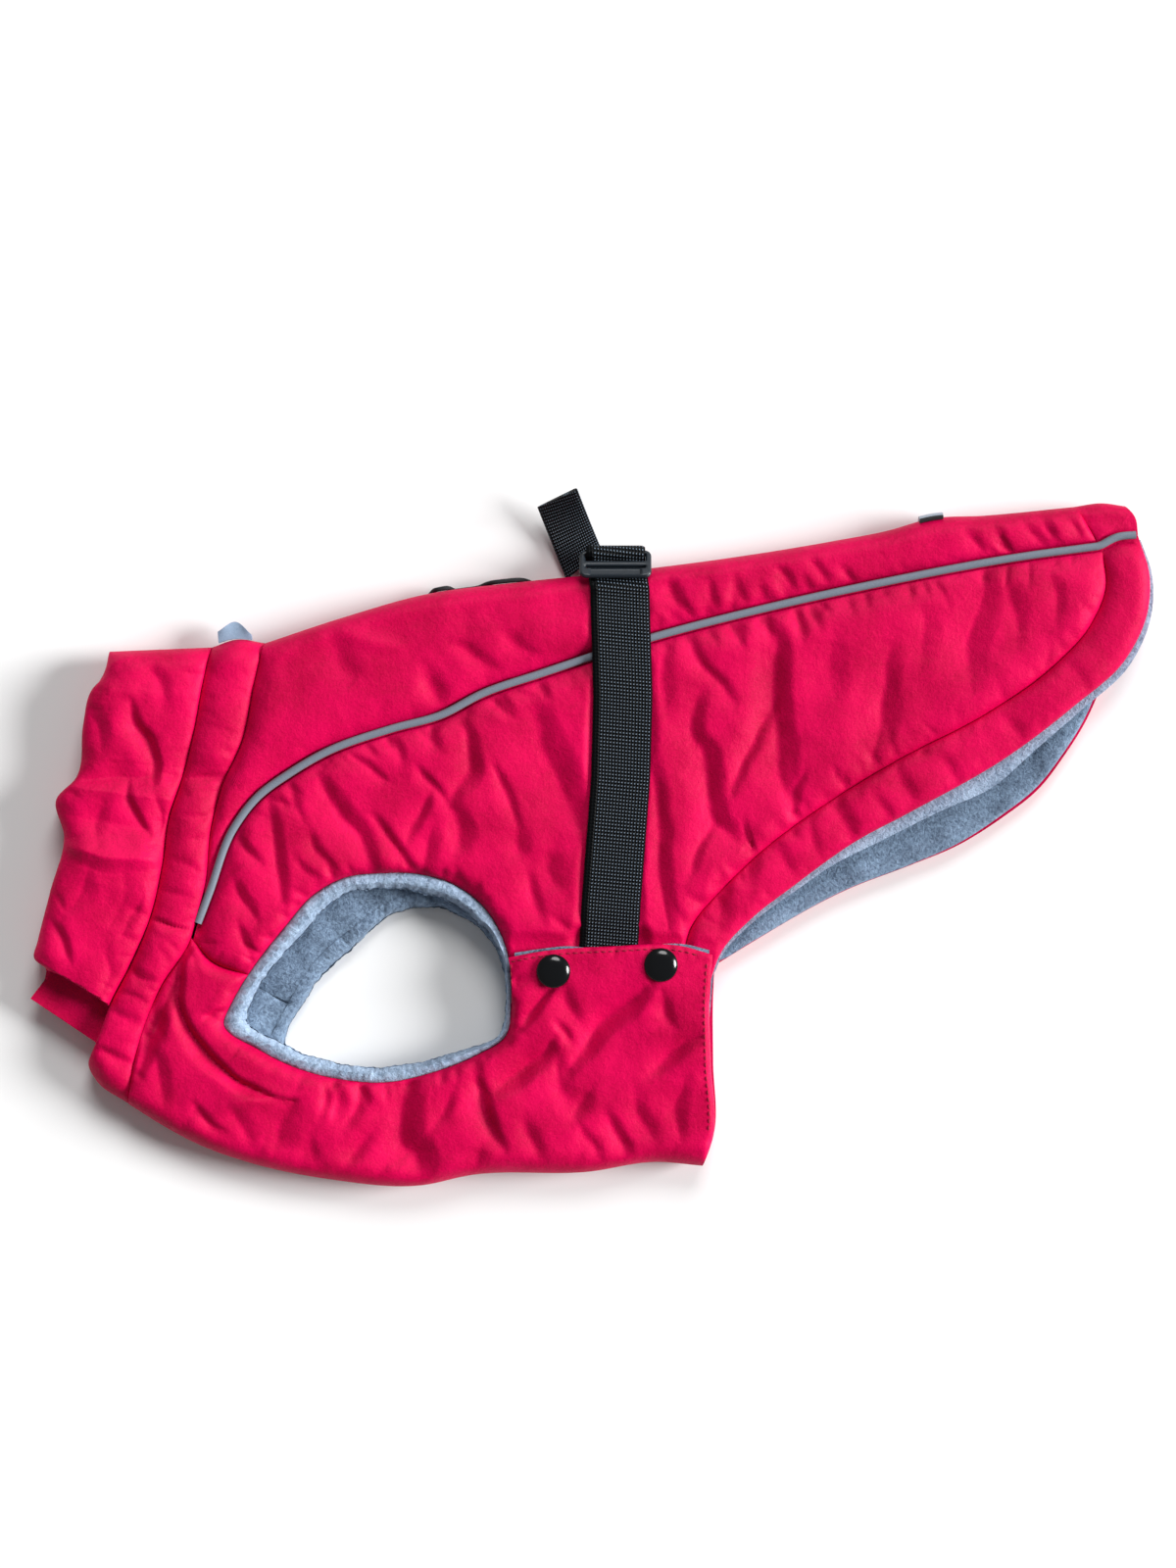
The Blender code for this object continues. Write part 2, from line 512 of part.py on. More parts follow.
def hem_band_back(group):
    u = clear_of_ends(spread(5), 20)
    edges = (trace(PIPING_HEM), trace(SPINE_HEM), trace(GROOVE_TOP), trace(HEM_TOP))
    halves = [folded_half(edges, u, TAIL_RADIUS, side, TAIL_ROWS) for side in (1, -1)]
    return folded_panel("hem_band_back", *halves, shell_cloth(), group)


def rises_to_flap(points):
    """1 where the belly panel has risen into the flap, 0 where it lies on the lining."""
    return between(points[..., 1], FLAP_STEP) * between(points[..., 0], FLAP_START)


def pressed_by_flap(points):
    """Greatest height of what lies under the flap."""
    free = np.maximum(between(points[..., 1], FLAP_FREE), points[..., 0] < FLAP_START[0])
    return UNDER_FLAP_TOP + (PUFF - UNDER_FLAP_TOP) * free


def chest_panel(group):
    u = clear_of_ends(spread(28, 0.3), CHEST_LENGTH)
    band, fold = trace(BAND_SEAM, CHEST_ROW), trace(BELLY_FOLD)
    halves = []
    for side, seam, top, end, lift in ((1, CHEST_SEAM_LEFT, FLAP_TOP, FLAP_SIDE, rises_to_flap),
                                       (-1, CHEST_SEAM_RIGHT, BELLY_SEAM_RIGHT, FLAP_SIDE_RIGHT, None)):
        edges = (chest_top(seam, top), fold, band, trace(end[::-1]))
        halves.append(folded_half(edges, u, FOLD_RADIUS, side, FLAP_ROWS, lift))
    return folded_panel("chest_panel", *halves, shell_cloth(), group)


def side_low(chest_seam, under, groove):
    """Lower edge of a side panel: chest seam, across the leg hole, side seam, then the hem."""
    seam_end, hole_end, hem_start = SIDE_SHARES
    return joined((trace([SIDE_CORNER] + chest_seam[1:]), seam_end),
                  (line(chest_seam[-1], under[0]), hole_end), (trace(under), hem_start), (trace(groove), 1))


def chest_top(chest_seam, top):
    """Upper edge of a chest panel or its lining: chest seam, across the leg hole, then flap or side seam."""
    seam_end, hole_end = CHEST_SHARES
    return joined((trace(chest_seam), seam_end), (line(chest_seam[-1], top[0]), hole_end), (trace(top), 1))


def side_panels(group):
    u = clear_of_ends(ALONG, BODY_LENGTH)
    piping = trace(PIPING)
    for name, low, side, cover in (
            ("side_left", side_low(CHEST_SEAM_LEFT, UNDER_FLAP, GROOVE_LEFT), 1, pressed_by_flap),
            ("side_right", side_low(CHEST_SEAM_RIGHT, SIDE_SEAM_RIGHT, GROOVE_RIGHT), -1, None)):
        edges = (low, piping, line(low(0.0), piping(0.0)), line(low(1.0), piping(1.0)))
        yield padded_sheet(name, edges, u, 8, side, group, cover=cover)


def hem_bands(group):
    hem_start = SIDE_SHARES[2]
    shared = (clear_of_ends(ALONG, BODY_LENGTH) - hem_start) / (1 - hem_start)
    near_piping = 1 - np.array([0.8 * END_SHELF, HALF_GAP]) / HEM_LENGTH
    u = np.concatenate([[HALF_GAP / HEM_LENGTH], HEM_CORNER * shared[shared > 0.01], near_piping])
    right = trace(PIPING_HEM[::-1])
    for name, groove, hem, side, cover in (("hem_band_left", GROOVE_LEFT, HEM_LEFT, 1, pressed_by_flap),
                                           ("hem_band_right", GROOVE_RIGHT, HEM_RIGHT, -1, None)):
        low = trace(hem)
        high = joined((trace(groove), HEM_CORNER), (line(groove[-1], PIPING_HEM[0]), 1))
        edges = (low, high, line(low(0.0), high(0.0)), right)
        yield padded_sheet(name, edges, u, 4, side, group, free_edge=True, cover=cover)


def linings(group):
    spine = trace(LINING_SPINE)
    reverse = BAND_SEAM[::-1]
    last = len(BAND_SEAM) - 1
    band = trace(reverse, last - CHEST_ROW, last - LINING_ROWS[0])
    for name, low, side in (
            ("lining_left", side_low(CHEST_SEAM_LEFT, UNDER_FLAP, LINING_HEM_LEFT), 1),
            ("lining_right", side_low(CHEST_SEAM_RIGHT, SIDE_SEAM_RIGHT, LINING_HEM_RIGHT), -1)):
        edges = (low, spine, band, line(low(1.0), spine(1.0)))
        yield flat_lining(name, edges, LINING_START + (1 - LINING_START) * spread(26, 0.3), side, group)
    belly = trace(LINING_BELLY)
    band = trace(reverse, last - LINING_ROWS[1], last - CHEST_ROW)
    for name, seam, top, side in (
            ("chest_lining_left", CHEST_SEAM_LEFT, CHEST_LINING_TOP, 1),
            ("chest_lining_right", CHEST_SEAM_RIGHT, CHEST_LINING_TOP_RIGHT, -1)):
        high = chest_top(seam, top)
        edges = (belly, high, band, line(belly(1.0), high(1.0)))
        yield flat_lining(name, edges, LINING_START + (1 - LINING_START) * spread(20, 0.3), side, group)


def flap_lining(group):
    top = [(-31.5, -47.6), (-20.8, -46), (9, -44), (40, -44), (51, -46.6)]
    bottom = [(-31.5, -60), (9, -60), (50, -60)]
    edges = (trace(bottom), trace(top), line(bottom[0], top[0]), line(bottom[-1], top[-1]))
    return flat_lining("flap_lining", edges, np.linspace(0, 1, 13), 1, group, FLAP_LINING, 2)


# Tubes pressed flat: collar and neck band

def tube_ring(name, edges, heights, axial, clear, end_share, group):
    """A tube pressed flat: its wall is a loop round the neck; heights vary from spine to throat."""
    a = spread(axial, 0.6)[:, None]
    sample = np.linspace(0, 1, 200)
    arcs = [np.linalg.norm(np.diff(edge(sample), axis=0), axis=1).sum() for edge in edges[:2]]
    length = arcs[0] + (arcs[1] - arcs[0]) * a
    turn = FOLD_RADIUS * (1 - np.cos(np.linspace(0, pi / 2, TURN + 1)))
    middle = turn[-1] + (length - 2 * turn[-1]) * np.linspace(0, 1, 20)[1:-1]
    ends = np.broadcast_to(turn, (a.shape[0], TURN + 1))
    s = np.concatenate([ends, middle, length - ends[:, ::-1]], axis=1)
    inner_s = TUBE_WALL + s * (length - 2 * TUBE_WALL) / length
    across = clear[0] + (1 - clear[0] - clear[1]) * a
    outer_plan = plan(*edges, s / length, across, fade=8)
    inner_plan = plan(*edges, inner_s / length, across, fade=30)
    table = np.array(heights)
    half = np.interp(s / length, table[:, 0], table[:, 1])
    inner_half = np.interp(inner_s / length, table[:, 0], table[:, 1])
    round_ends = arc(s / FOLD_RADIUS) * arc((length - s) / FOLD_RADIUS)
    near = np.abs(a - np.array([0, 1])) / TUBE_SHOULDER
    sides = ((end_share[0] + (1 - end_share[0]) * arc(near[:, :1]))
             * (end_share[1] + (1 - end_share[1]) * arc(near[:, 1:])))
    rise = half * round_ends * sides
    room = np.minimum(TUBE_ROOM, 0.25 * inner_half)
    from_fold = np.minimum(inner_s, length - inner_s) - TUBE_WALL
    inner_rise = room * arc(from_fold / TUBE_ROOM)
    rounds = []
    for side, columns in ((1, slice(None)), (-1, slice(-2, 0, -1))):
        dip = folds(outer_plan) * round_ends * sides if side > 0 else 0
        outer = with_height(outer_plan, half + side * rise - dip)
        inner = with_height(inner_plan, inner_half + side * inner_rise)
        rounds.append(np.concatenate([outer, inner[::-1]], axis=0)[:, columns])
    sections = np.concatenate(rounds, axis=1).transpose(1, 0, 2)
    return ring(name, sections, shell_cloth(), group)


def neck_band(group):
    edges = (trace(BAND_SEAM), trace(COLLAR_SEAM), trace(BAND_SPINE), trace(BAND_THROAT))
    return tube_ring("neck_band", edges, BAND_HEIGHT, 5, (0.04, 0.025), (0.72, 0.72), group)


def collar(group):
    edges = (trace(COLLAR_SEAM), trace(COLLAR_EDGE), line(COLLAR_SEAM[0], COLLAR_EDGE[0]),
             line(COLLAR_SEAM[-1], COLLAR_EDGE[-1]))
    return tube_ring("collar", edges, COLLAR_HEIGHT, 7, (0.012, 0.0), (0.72, 0.5), group)


# Leg holes

def hole_outline(table, count):
    """Closed smooth outline through a leg hole's rows, and the binding's width at each point."""
    rows = np.array(table, float)
    around = np.concatenate([rows, rows, rows])
    knots = np.concatenate([[0], np.cumsum(np.linalg.norm(np.diff(around[:, :2], axis=0), axis=1))])
    slopes = np.gradient(around, knots, axis=0)
    first = len(rows)
    where = knots[first] + (knots[2 * first] - knots[first]) * np.arange(count) / count
    row = np.searchsorted(knots, where, side="right") - 1
    span = (knots[row + 1] - knots[row])[:, None]
    t = ((where - knots[row]) / span[:, 0])[:, None]
    return ((1 + 2 * t) * (1 - t) ** 2 * around[row] + t * (1 - t) ** 2 * span * slopes[row]
            + t * t * (3 - 2 * t) * around[row + 1] + t * t * (t - 1) * span * slopes[row + 1])


def binding(name, table, heights, group):
    """Fleece binding: a flat oval section carried round the leg hole."""
    outline = hole_outline(table, HOLE_POINTS)
    inward = np.array(LEG_HOLE_CENTRE) - outline[:, :2]
    inward = inward / np.linalg.norm(inward, axis=1)[:, None]
    angle = np.arange(6) * pi / 3 + pi / 6
    across = (1 - np.cos(angle) / np.cos(pi / 6)) / 2
    lift = (heights[0] + heights[1]) / 2 + (heights[1] - heights[0]) / 2 * np.sin(angle)
    points = outline[:, None, :2] + inward[:, None] * (across[:, None] * outline[:, None, 2:3])
    return ring(name, with_height(points, lift[None, :]), fleece(), group)


def hole_cutter(name, table, low, high, group):
    """Prism on a leg hole's outline, a seam gap outside the binding."""
    outline = hole_outline(table, HOLE_POINTS)[:, :2]
    away = outline - np.array(LEG_HOLE_CENTRE)
    outline = outline + away / np.linalg.norm(away, axis=1)[:, None] * SEAM_GAP
    bm = bmesh.new()
    verts = bmesh.ops.create_circle(bm, cap_ends=True, segments=len(outline), radius=1)["verts"]
    for v, (x, y) in zip(verts, outline):
        v.co = (x * MM, y * MM, low * MM)
    top = bmesh.ops.extrude_face_region(bm, geom=bm.faces[:], use_keep_orig=True)["geom"]
    for v in top:
        if isinstance(v, bmesh.types.BMVert):
            v.co.z = high * MM
    outward(bm)
    mesh = bpy.data.meshes.new(name)
    bm.to_mesh(mesh)
    bm.free()
    cutter = bpy.data.objects.new(name, mesh)
    group.objects.link(cutter)
    return cutter


# Trim

def piping(name, side, group):
    """Reflective piping: a cord along the seam between back and side panels and over the hem."""
    seam = SEAM_LEFT if side > 0 else SEAM_RIGHT
    along = ALONG.copy()
    along[0] = along[1] / 4
    over_hem = np.linspace(*PIPING_OVER_HEM, 3)
    points = np.concatenate([trace(PIPING)(along[:-1]), trace(PIPING_HEM)(over_hem)])
    height = MIDDLE + side * (seam + PIPING_CLEAR + PIPING_RADIUS)
    return tube(name, with_height(points, height), PIPING_RADIUS, reflective_tape(), group)


def strap_route():
    """Rows of the webbing's whole route: y, z."""
    along = np.array([np.cos(BUCKLE_TILT), np.sin(BUCKLE_TILT)])
    above = np.array([-along[1], along[0]])
    threaded = [np.array(BUCKLE_CENTRE[1:]) + p * along + n * above for p, n in STRAP_THREAD]
    return np.concatenate([STRAP_RISE, threaded, STRAP_RETURN])


def webbing_run(name, route, extra, group):
    """Webbing along a route: a flat section carried along it, grown by extra on every side."""
    points = trace_rows(route, 2)
    forward = np.gradient(points, axis=0)
    forward = forward / np.linalg.norm(forward, axis=1)[:, None]
    points[0] = points[0] - forward[0] * extra
    points[-1] = points[-1] + forward[-1] * extra
    normal = np.stack([-forward[:, 1], forward[:, 0]], axis=1)
    path = np.array(STRAP_LINE)
    x = np.interp(points[:, 0], path[:, 1], path[:, 0])
    half_width, half_thickness = WEBBING_WIDTH / 2 + extra, WEBBING_THICKNESS / 2 + extra
    faces = []
    for face in (half_thickness, -half_thickness):
        edge = points + normal * face
        sides = [np.column_stack([x + end, edge]) for end in (-half_width, half_width)]
        faces.append(np.stack(sides, axis=1))
    return wall(name, faces[0], faces[1], webbing(), group)


def strap_tail(group):
    """Free end of the webbing: a ribbon from under the spine that turns up and over to one side."""
    t = np.linspace(0, 1, 9)[:, None, None]
    across = np.linspace(0, 1, 3)[None, :, None]
    root, end = (np.array(row, float) for row in (TAIL_ROOT, TAIL_END))
    start = root[0] + (root[1] - root[0]) * across
    stop = end[0] + (end[1] - end[0]) * across
    points = start + (stop - start) * t
    sag = TAIL_SAG[0] + (TAIL_SAG[1] - TAIL_SAG[0]) * across[..., 0]
    points[..., 2] = points[..., 2] - sag * np.sin(pi * t[..., 0])
    normal = np.cross(np.gradient(points, axis=0), np.gradient(points, axis=1))
    normal = normal / np.linalg.norm(normal, axis=-1)[..., None] * WEBBING_THICKNESS / 2
    return wall("strap_tail", points + normal, points - normal, webbing(), group)


def slide_buckle(group):
    """Three-bar slide: a flat outline with two slots, tilted over the spine fold."""
    curve = bpy.data.curves.new("slide_buckle", "CURVE")
    curve.dimensions = "2D"
    curve.fill_mode = "BOTH"
    curve.extrude = BUCKLE_BAR / 2 * MM
    slot_length = WEBBING_WIDTH + SLOT_PLAY
    outer = (BUCKLE_LENGTH / 2, BUCKLE_PITCH + BUCKLE_BAR / 2, BUCKLE_CORNER, 0)
    slot = (slot_length / 2, (BUCKLE_PITCH - BUCKLE_BAR) / 2)
    outlines = [outer] + [slot + (SLOT_CORNER, side * BUCKLE_PITCH / 2) for side in (-1, 1)]
    for half_x, half_y, corner, y in outlines:
        angle = np.repeat(np.arange(4) * pi / 2, 4) + np.tile(np.linspace(0, pi / 2, 4), 4)
        sign = np.repeat([[1, 1], [-1, 1], [-1, -1], [1, -1]], 4, axis=0)
        points = sign * (np.array([half_x, half_y]) - corner) + corner * np.c_[np.cos(angle), np.sin(angle)]
        spline = curve.splines.new("POLY")
        spline.points.add(len(points) - 1)
        flat = np.c_[points[:, 0], points[:, 1] + y, np.zeros(len(points))] * MM
        spline.points.foreach_set("co", np.c_[flat, np.ones(len(points))].ravel())
        spline.use_cyclic_u = True
    curve.materials.append(black_plastic())
    piece = bpy.data.objects.new("slide_buckle", curve)
    piece.location = np.array(BUCKLE_CENTRE) * MM
    piece.rotation_euler = (BUCKLE_TILT, 0, 0)
    group.objects.link(piece)
    return piece


def snap_caps(group):
    """Press stud caps: a turned dome with a rolled rim."""
    for name, (x, y) in SNAPS.items():
        mesh = bpy.data.meshes.new(name)
        points = [(r * SNAP_RADIUS * MM, 0, z * MM) for r, z in SNAP_PROFILE]
        mesh.from_pydata(points, [(i, i + 1) for i in range(len(points) - 1)], [])
        cap = add(name, mesh, black_plastic(), group)
        turn = cap.modifiers.new("turn", "SCREW")
        turn.steps = turn.render_steps = 18
        turn.use_merge_vertices = True
        turn.merge_threshold = 0.00001
        cap.location = (x * MM, y * MM, (MIDDLE + FLAP_ROOM + FLAP_WALL + SEAM_GAP) * MM)


def reflective_tab(group):
    low, high = trace(TAB_BASE), trace(TAB_TOP)
    points = plan(low, high, line(TAB_BASE[0], TAB_TOP[0]), line(TAB_BASE[-1], TAB_TOP[-1]),
                  np.linspace(0, 1, 7)[:, None], np.linspace(0, 1, 4)[None, :])
    return wall("reflective_tab", with_height(points, TAB_HEIGHT[1]), with_height(points, TAB_HEIGHT[0]),
                reflective_tape(), group)


def around_spine(x, spine_y, angle, off):
    """Points round the outside of the spine fold: angle 0 is outermost, off is the distance outside it.
    The back panel's sections lie slantwise to the spine, so that its fold is narrower than it is high."""
    y = spine_y - FOLD_SLANT * FOLD_RADIUS * (1 - np.cos(angle)) + off * np.cos(angle)
    return np.stack([x, y, MIDDLE + (FOLD_RADIUS + off) * np.sin(angle)], axis=-1)


def spine_height(x):
    rows = trace(SPINE)(np.linspace(0, 1, 200))
    return np.interp(x, rows[:, 0], rows[:, 1])


def leash_trim(group):
    """Bound edge of the leash opening: an oval cord low on the far side of the spine fold, whose upper
    edge waves up over the fold in two places."""
    turn = (np.arange(28) + 0.5) * pi / 14
    x = LEASH_CENTRE_X + LEASH_HALF_LENGTH * np.sin(pi / 2 * np.cos(turn))
    humps = sum(np.exp(-((x - centre) / half) ** 4) for centre, half in LEASH_HUMPS)
    upper = np.clip(2 * np.sin(turn), 0, 1)
    angle = LEASH_PLACE + LEASH_OPEN * np.sin(turn) + LEASH_RISE * humps * upper
    points = around_spine(x, spine_height(x), angle, LEASH_RADIUS + SEAM_GAP)
    return tube("leash_trim", points, LEASH_RADIUS, webbing(), group, cyclic=True)


def tail_loop(group):
    """Small sewn loop lying over the spine fold near the tail."""
    x = np.linspace(*LOOP_X, 3)[:, None]
    angle = np.linspace(*LOOP_ANGLES, 7)[None, :]
    x, angle = np.broadcast_arrays(x, angle)
    inner = around_spine(x, spine_height(x), angle, SEAM_GAP)
    outer = around_spine(x, spine_height(x), angle, SEAM_GAP + LOOP_THICKNESS)
    return wall("tail_loop", outer, inner, reflective_tape(), group)


def build():
    for old in list(bpy.data.objects):
        bpy.data.objects.remove(old)
    coat = bpy.data.collections.new("dog winter coat")
    cutters = bpy.data.collections.new("cutters")
    bpy.context.scene.collection.children.link(coat)
    bpy.context.scene.collection.children.link(cutters)

    back = back_panel(coat)
    chest = chest_panel(coat)
    side_left, side_right = side_panels(coat)
    list(hem_bands(coat))
    hem_band_back(coat)
    neck_band(coat)
    collar(coat)
    lining_left, lining_right, chest_lining_left, chest_lining_right = linings(coat)
    flap_lining(coat)
    binding("leg_binding_left", LEG_HOLE_LEFT, BINDING_LEFT, coat)
    binding("leg_binding_right", LEG_HOLE_RIGHT, BINDING_RIGHT, coat)
    piping("piping_left", 1, coat)
    piping("piping_right", -1, coat)
    route = strap_route()
    webbing_run("strap", route, 0.0, coat)
    strap_tail(coat)
    slide_buckle(coat)
    snap_caps(coat)
    reflective_tab(coat)
    leash_trim(coat)
    tail_loop(coat)

    upper_hole = hole_cutter("upper leg hole", LEG_HOLE_LEFT, MIDDLE, HOLE_CUT[1], cutters)
    lower_hole = hole_cutter("lower leg hole", LEG_HOLE_RIGHT, HOLE_CUT[0], MIDDLE, cutters)
    before_slots, after_slots = len(STRAP_RISE) + 4, len(STRAP_RETURN) + 1     # rows up to each channel's end
    top_channel = webbing_run("upper strap channel", route[:before_slots], SEAM_GAP, cutters)
    low_channel = webbing_run("lower strap channel", route[-after_slots:], SEAM_GAP, cutters)
    for piece in (side_left, chest, lining_left, chest_lining_left):
        cut(piece, upper_hole)
    for piece in (side_right, chest, lining_right, chest_lining_right):
        cut(piece, lower_hole)
    for piece in (back, side_left):
        cut(piece, top_channel)
    for piece in (back, side_right):
        cut(piece, low_channel)


build()
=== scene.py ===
import bpy
import numpy as np
from math import pi, radians
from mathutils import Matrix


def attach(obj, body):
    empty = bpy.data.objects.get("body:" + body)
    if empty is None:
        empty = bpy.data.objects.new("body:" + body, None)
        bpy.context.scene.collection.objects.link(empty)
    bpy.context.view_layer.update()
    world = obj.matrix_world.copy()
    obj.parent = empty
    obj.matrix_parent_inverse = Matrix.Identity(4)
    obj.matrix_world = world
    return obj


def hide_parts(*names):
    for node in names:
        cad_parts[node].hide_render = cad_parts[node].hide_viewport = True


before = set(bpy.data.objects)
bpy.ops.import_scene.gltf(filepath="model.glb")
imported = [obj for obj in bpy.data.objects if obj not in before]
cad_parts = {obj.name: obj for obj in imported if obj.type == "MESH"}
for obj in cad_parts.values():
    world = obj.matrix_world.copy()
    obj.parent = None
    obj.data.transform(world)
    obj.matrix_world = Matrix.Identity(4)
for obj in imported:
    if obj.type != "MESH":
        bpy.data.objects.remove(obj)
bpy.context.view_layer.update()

mm = 0.001                 # every table below is in millimetres
print("frame loaded,", len(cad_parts), "nodes")

# A padded dog winter coat lying on its right side: head at -X, tail at +X, spine at +Y, belly at -Y.

# Curves seen from above

# Length travelled along a line from its first point, at each of its points.
def lengthAlong(line):
    return np.concatenate([[0], np.cumsum(np.linalg.norm(np.diff(line, axis=0), axis=1))])


# Vectors divided by their own lengths.
def unit(vectors):
    return vectors / np.linalg.norm(vectors, axis=-1)[..., None]


# Cubic from each given row to the next: both rows and both slopes, weighted by cubics of t, which runs from
# 0 to 1 over the span between them.
def hermite(rows, slopes, row, t, span):
    return ((1 + 2 * t) * (1 - t) ** 2 * rows[row] + t * (1 - t) ** 2 * span * slopes[row]
            + t * t * (3 - 2 * t) * rows[row + 1] + t * t * (t - 1) * span * slopes[row + 1])


# Cubic through a table's rows, whose slopes are finite differences.
def splineRows(table, steps):
    rows = np.array(table, float)
    knots = lengthAlong(rows)
    slopes = np.gradient(rows, knots, axis=0)
    place = np.arange(steps * (len(rows) - 1) + 1) / steps
    row = np.minimum(place.astype(int), len(rows) - 2)
    t = (place - row)[:, None]
    return hermite(rows, slopes, row, t, (knots[row + 1] - knots[row])[:, None])


# The same curve as a function of the share of its length, from one row to another.
def curve(table, first=0, last=None):
    last = len(table) - 1 if last is None else last
    dense = splineRows(table, 40)[40 * first:40 * last + 1]
    length = lengthAlong(dense)
    length = length / length[-1]
    return lambda share: np.stack([np.interp(share, length, column) for column in dense.T], axis=-1)


# Straight edge: start + share * (end - start).
def straight(start, end):
    start, end = np.array(start, float), np.array(end, float)
    return lambda share: start + np.asarray(share)[..., None] * (end - start)


# Four edges of a strip between two tables' curves, with straight ends.
def stripEdges(low, high):
    return curve(low), curve(high), straight(low[0], high[0]), straight(low[-1], high[-1])


# Edges run one after another, each given with the share of the whole at which it ends.
def joined(*edges):
    def point(share):
        share = np.asarray(share, float)
        out, begin = np.zeros(share.shape + (2,)), 0.0
        for edge, end in edges:
            inside = (share >= begin) if begin else (share >= -1)
            local = np.clip((share - begin) / (end - begin), 0, 1)
            out = np.where(inside[..., None], edge(local), out)
            begin = end
        return out
    return point


# Patch between four edges: low blended into high, bent at each end by that edge's departure from straight,
# which fades with a power of the distance from it.
def patch(low, high, left, right, u, v, fade=1):
    u, v = np.broadcast_arrays(np.asarray(u, float), np.asarray(v, float))
    a, b = u[..., None], v[..., None]
    bentLeft = left(v) - (1 - b) * left(0.0) - b * left(1.0)
    bentRight = right(v) - (1 - b) * right(0.0) - b * right(1.0)
    return (1 - b) * low(u) + b * high(u) + (1 - a) ** fade * bentLeft + a ** fade * bentRight


# Index of the mark on a line that is nearest to each point, worked out in parts to save memory.
def nearestMark(points, line, atOnce=3000):
    parts = np.array_split(points, 1 + len(points) // atOnce)
    return np.concatenate([((part[:, None] - line) ** 2).sum(axis=-1).argmin(axis=1) for part in parts])


# Distance from an edge: to the nearest of its marks, less the part of it that runs along the edge there.
def distance(points, edge, marks=420):
    line = edge(np.linspace(0, 1, marks))
    tangent = np.gradient(line, axis=0)
    step = np.maximum(np.linalg.norm(tangent, axis=1), 1e-6)
    flat = points.reshape(-1, 2)
    nearest = nearestMark(flat, line)
    ahead = tangent[nearest] / step[nearest, None]
    off = flat - line[nearest]
    forward = np.clip((off * ahead).sum(axis=1), -step[nearest], step[nearest])
    return np.linalg.norm(off - forward[:, None] * ahead, axis=1).reshape(points.shape[:-1])


# Quarter ellipse: 0 at 0, 1 from 1 on.
def arc(x):
    return np.sqrt(1 - (1 - np.clip(x, 0, 1)) ** 2)


# 3t² - 2t³ between 0 and 1.
def smooth(x):
    x = np.clip(x, 0, 1)
    return x * x * (3 - 2 * x)


# 0 at low and 1 at high, smooth in between.
def between(x, low, high):
    return smooth((x - low) / (high - low))


# Shares from 0 to 1, drawn together at both ends by a cosine.
def spread(count, bunch=0.5):
    t = np.linspace(0, 1, count + 1)
    return (1 - bunch) * t + bunch * (1 - np.cos(pi * t)) / 2


# Smooth noise from -1 to 1: values hashed with a sine on a lattice, blended by 3t² - 2t³ in each cell. The
# large numbers only scatter the values.
def softNoise(x, y, size, seed=0.0):
    gx, gy = x / size + 37.3 * seed, y / size - 11.9 * seed
    ix, iy = np.floor(gx), np.floor(gy)
    tx, ty = smooth(gx - ix), smooth(gy - iy)

    def corner(a, b):
        value = np.sin(a * 127.1 + b * 311.7 + seed * 74.7) * 4375.85453
        return value - np.floor(value)
    low = corner(ix, iy) * (1 - tx) + corner(ix + 1, iy) * tx
    high = corner(ix, iy + 1) * (1 - tx) + corner(ix + 1, iy + 1) * tx
    return 2 * (low * (1 - ty) + high * ty) - 1


# Layers of soft noise added up: rows of size, height and seed.
def layeredNoise(points, rows):
    x, y = points[..., 0], points[..., 1]
    return sum(height * softNoise(x, y, size, seed) for size, height, seed in rows)


# Relief of padded cloth

fold = {
    "depth": 1.5,        # multiplies the depths in every table of folds
    "softFlank": 2.6,    # width of the wide flank, in widths of the narrow one
    "reach": 2.8,        # how far from its line a fold is worked out, in the same widths
    "wander": 0.9, "wanderSize": 9,    # how far soft noise moves its line, and the size of that noise
    "marks": 50,
}


# Cross profile of a fold at a signed distance off its line: a narrow, straight flank on the left, rounded at
# both its ends, and a wide flank on the right that fades with a square.
def foldProfile(off, width):
    steep = 1 - off / width
    steep = (steep + np.sqrt(steep ** 2 + 0.03)) / 2
    soft = np.clip(1 + off / (fold["softFlank"] * width), 0, 1) ** 2
    crest = np.clip(1 - np.maximum(np.sqrt(off ** 2 + 0.3) - 0.5, 0) / width, 0, 1)
    return np.where(off > 0, np.minimum(steep * (off < 1.5 * width), crest + 0.02), soft)


# Depth of folds. A row is the points of its line, the width of its narrow flank and its depth, negative for
# a ridge. It swells and fades along its line as a sine, fades past its ends, and is bent a little by noise.
def folds(points, table):
    x, y = points[..., 0], points[..., 1]
    drift = np.stack([softNoise(x, y, fold["wanderSize"], seed) for seed in (7, 8)], axis=-1)
    moved = (points + fold["wander"] * drift).reshape(-1, 2)
    total = np.zeros(len(moved))
    for path, width, depth in table:
        line = curve(path)(np.linspace(0, 1, fold["marks"]))
        reach = fold["reach"] * width
        inside = ((moved > line.min(axis=0) - reach) & (moved < line.max(axis=0) + reach)).all(axis=1)
        near = np.nonzero(inside)[0]
        if len(near) == 0:
            continue
        mark = nearestMark(moved[near], line)
        ahead = unit(np.gradient(line, axis=0))[mark]
        off = moved[near] - line[mark]
        aside = ahead[:, 0] * off[:, 1] - ahead[:, 1] * off[:, 0]
        past = np.maximum(np.abs((off * ahead).sum(axis=1)) - 0.6, 0)
        swell = np.sin(pi * (0.04 + 0.92 * mark / (fold["marks"] - 1))) ** 0.6
        swell = swell * np.exp(-(past / (0.5 * width)) ** 2)
        total[near] += fold["depth"] * depth * swell * foldProfile(aside, width * (0.5 + 0.5 * swell))
    return total.reshape(points.shape[:-1])


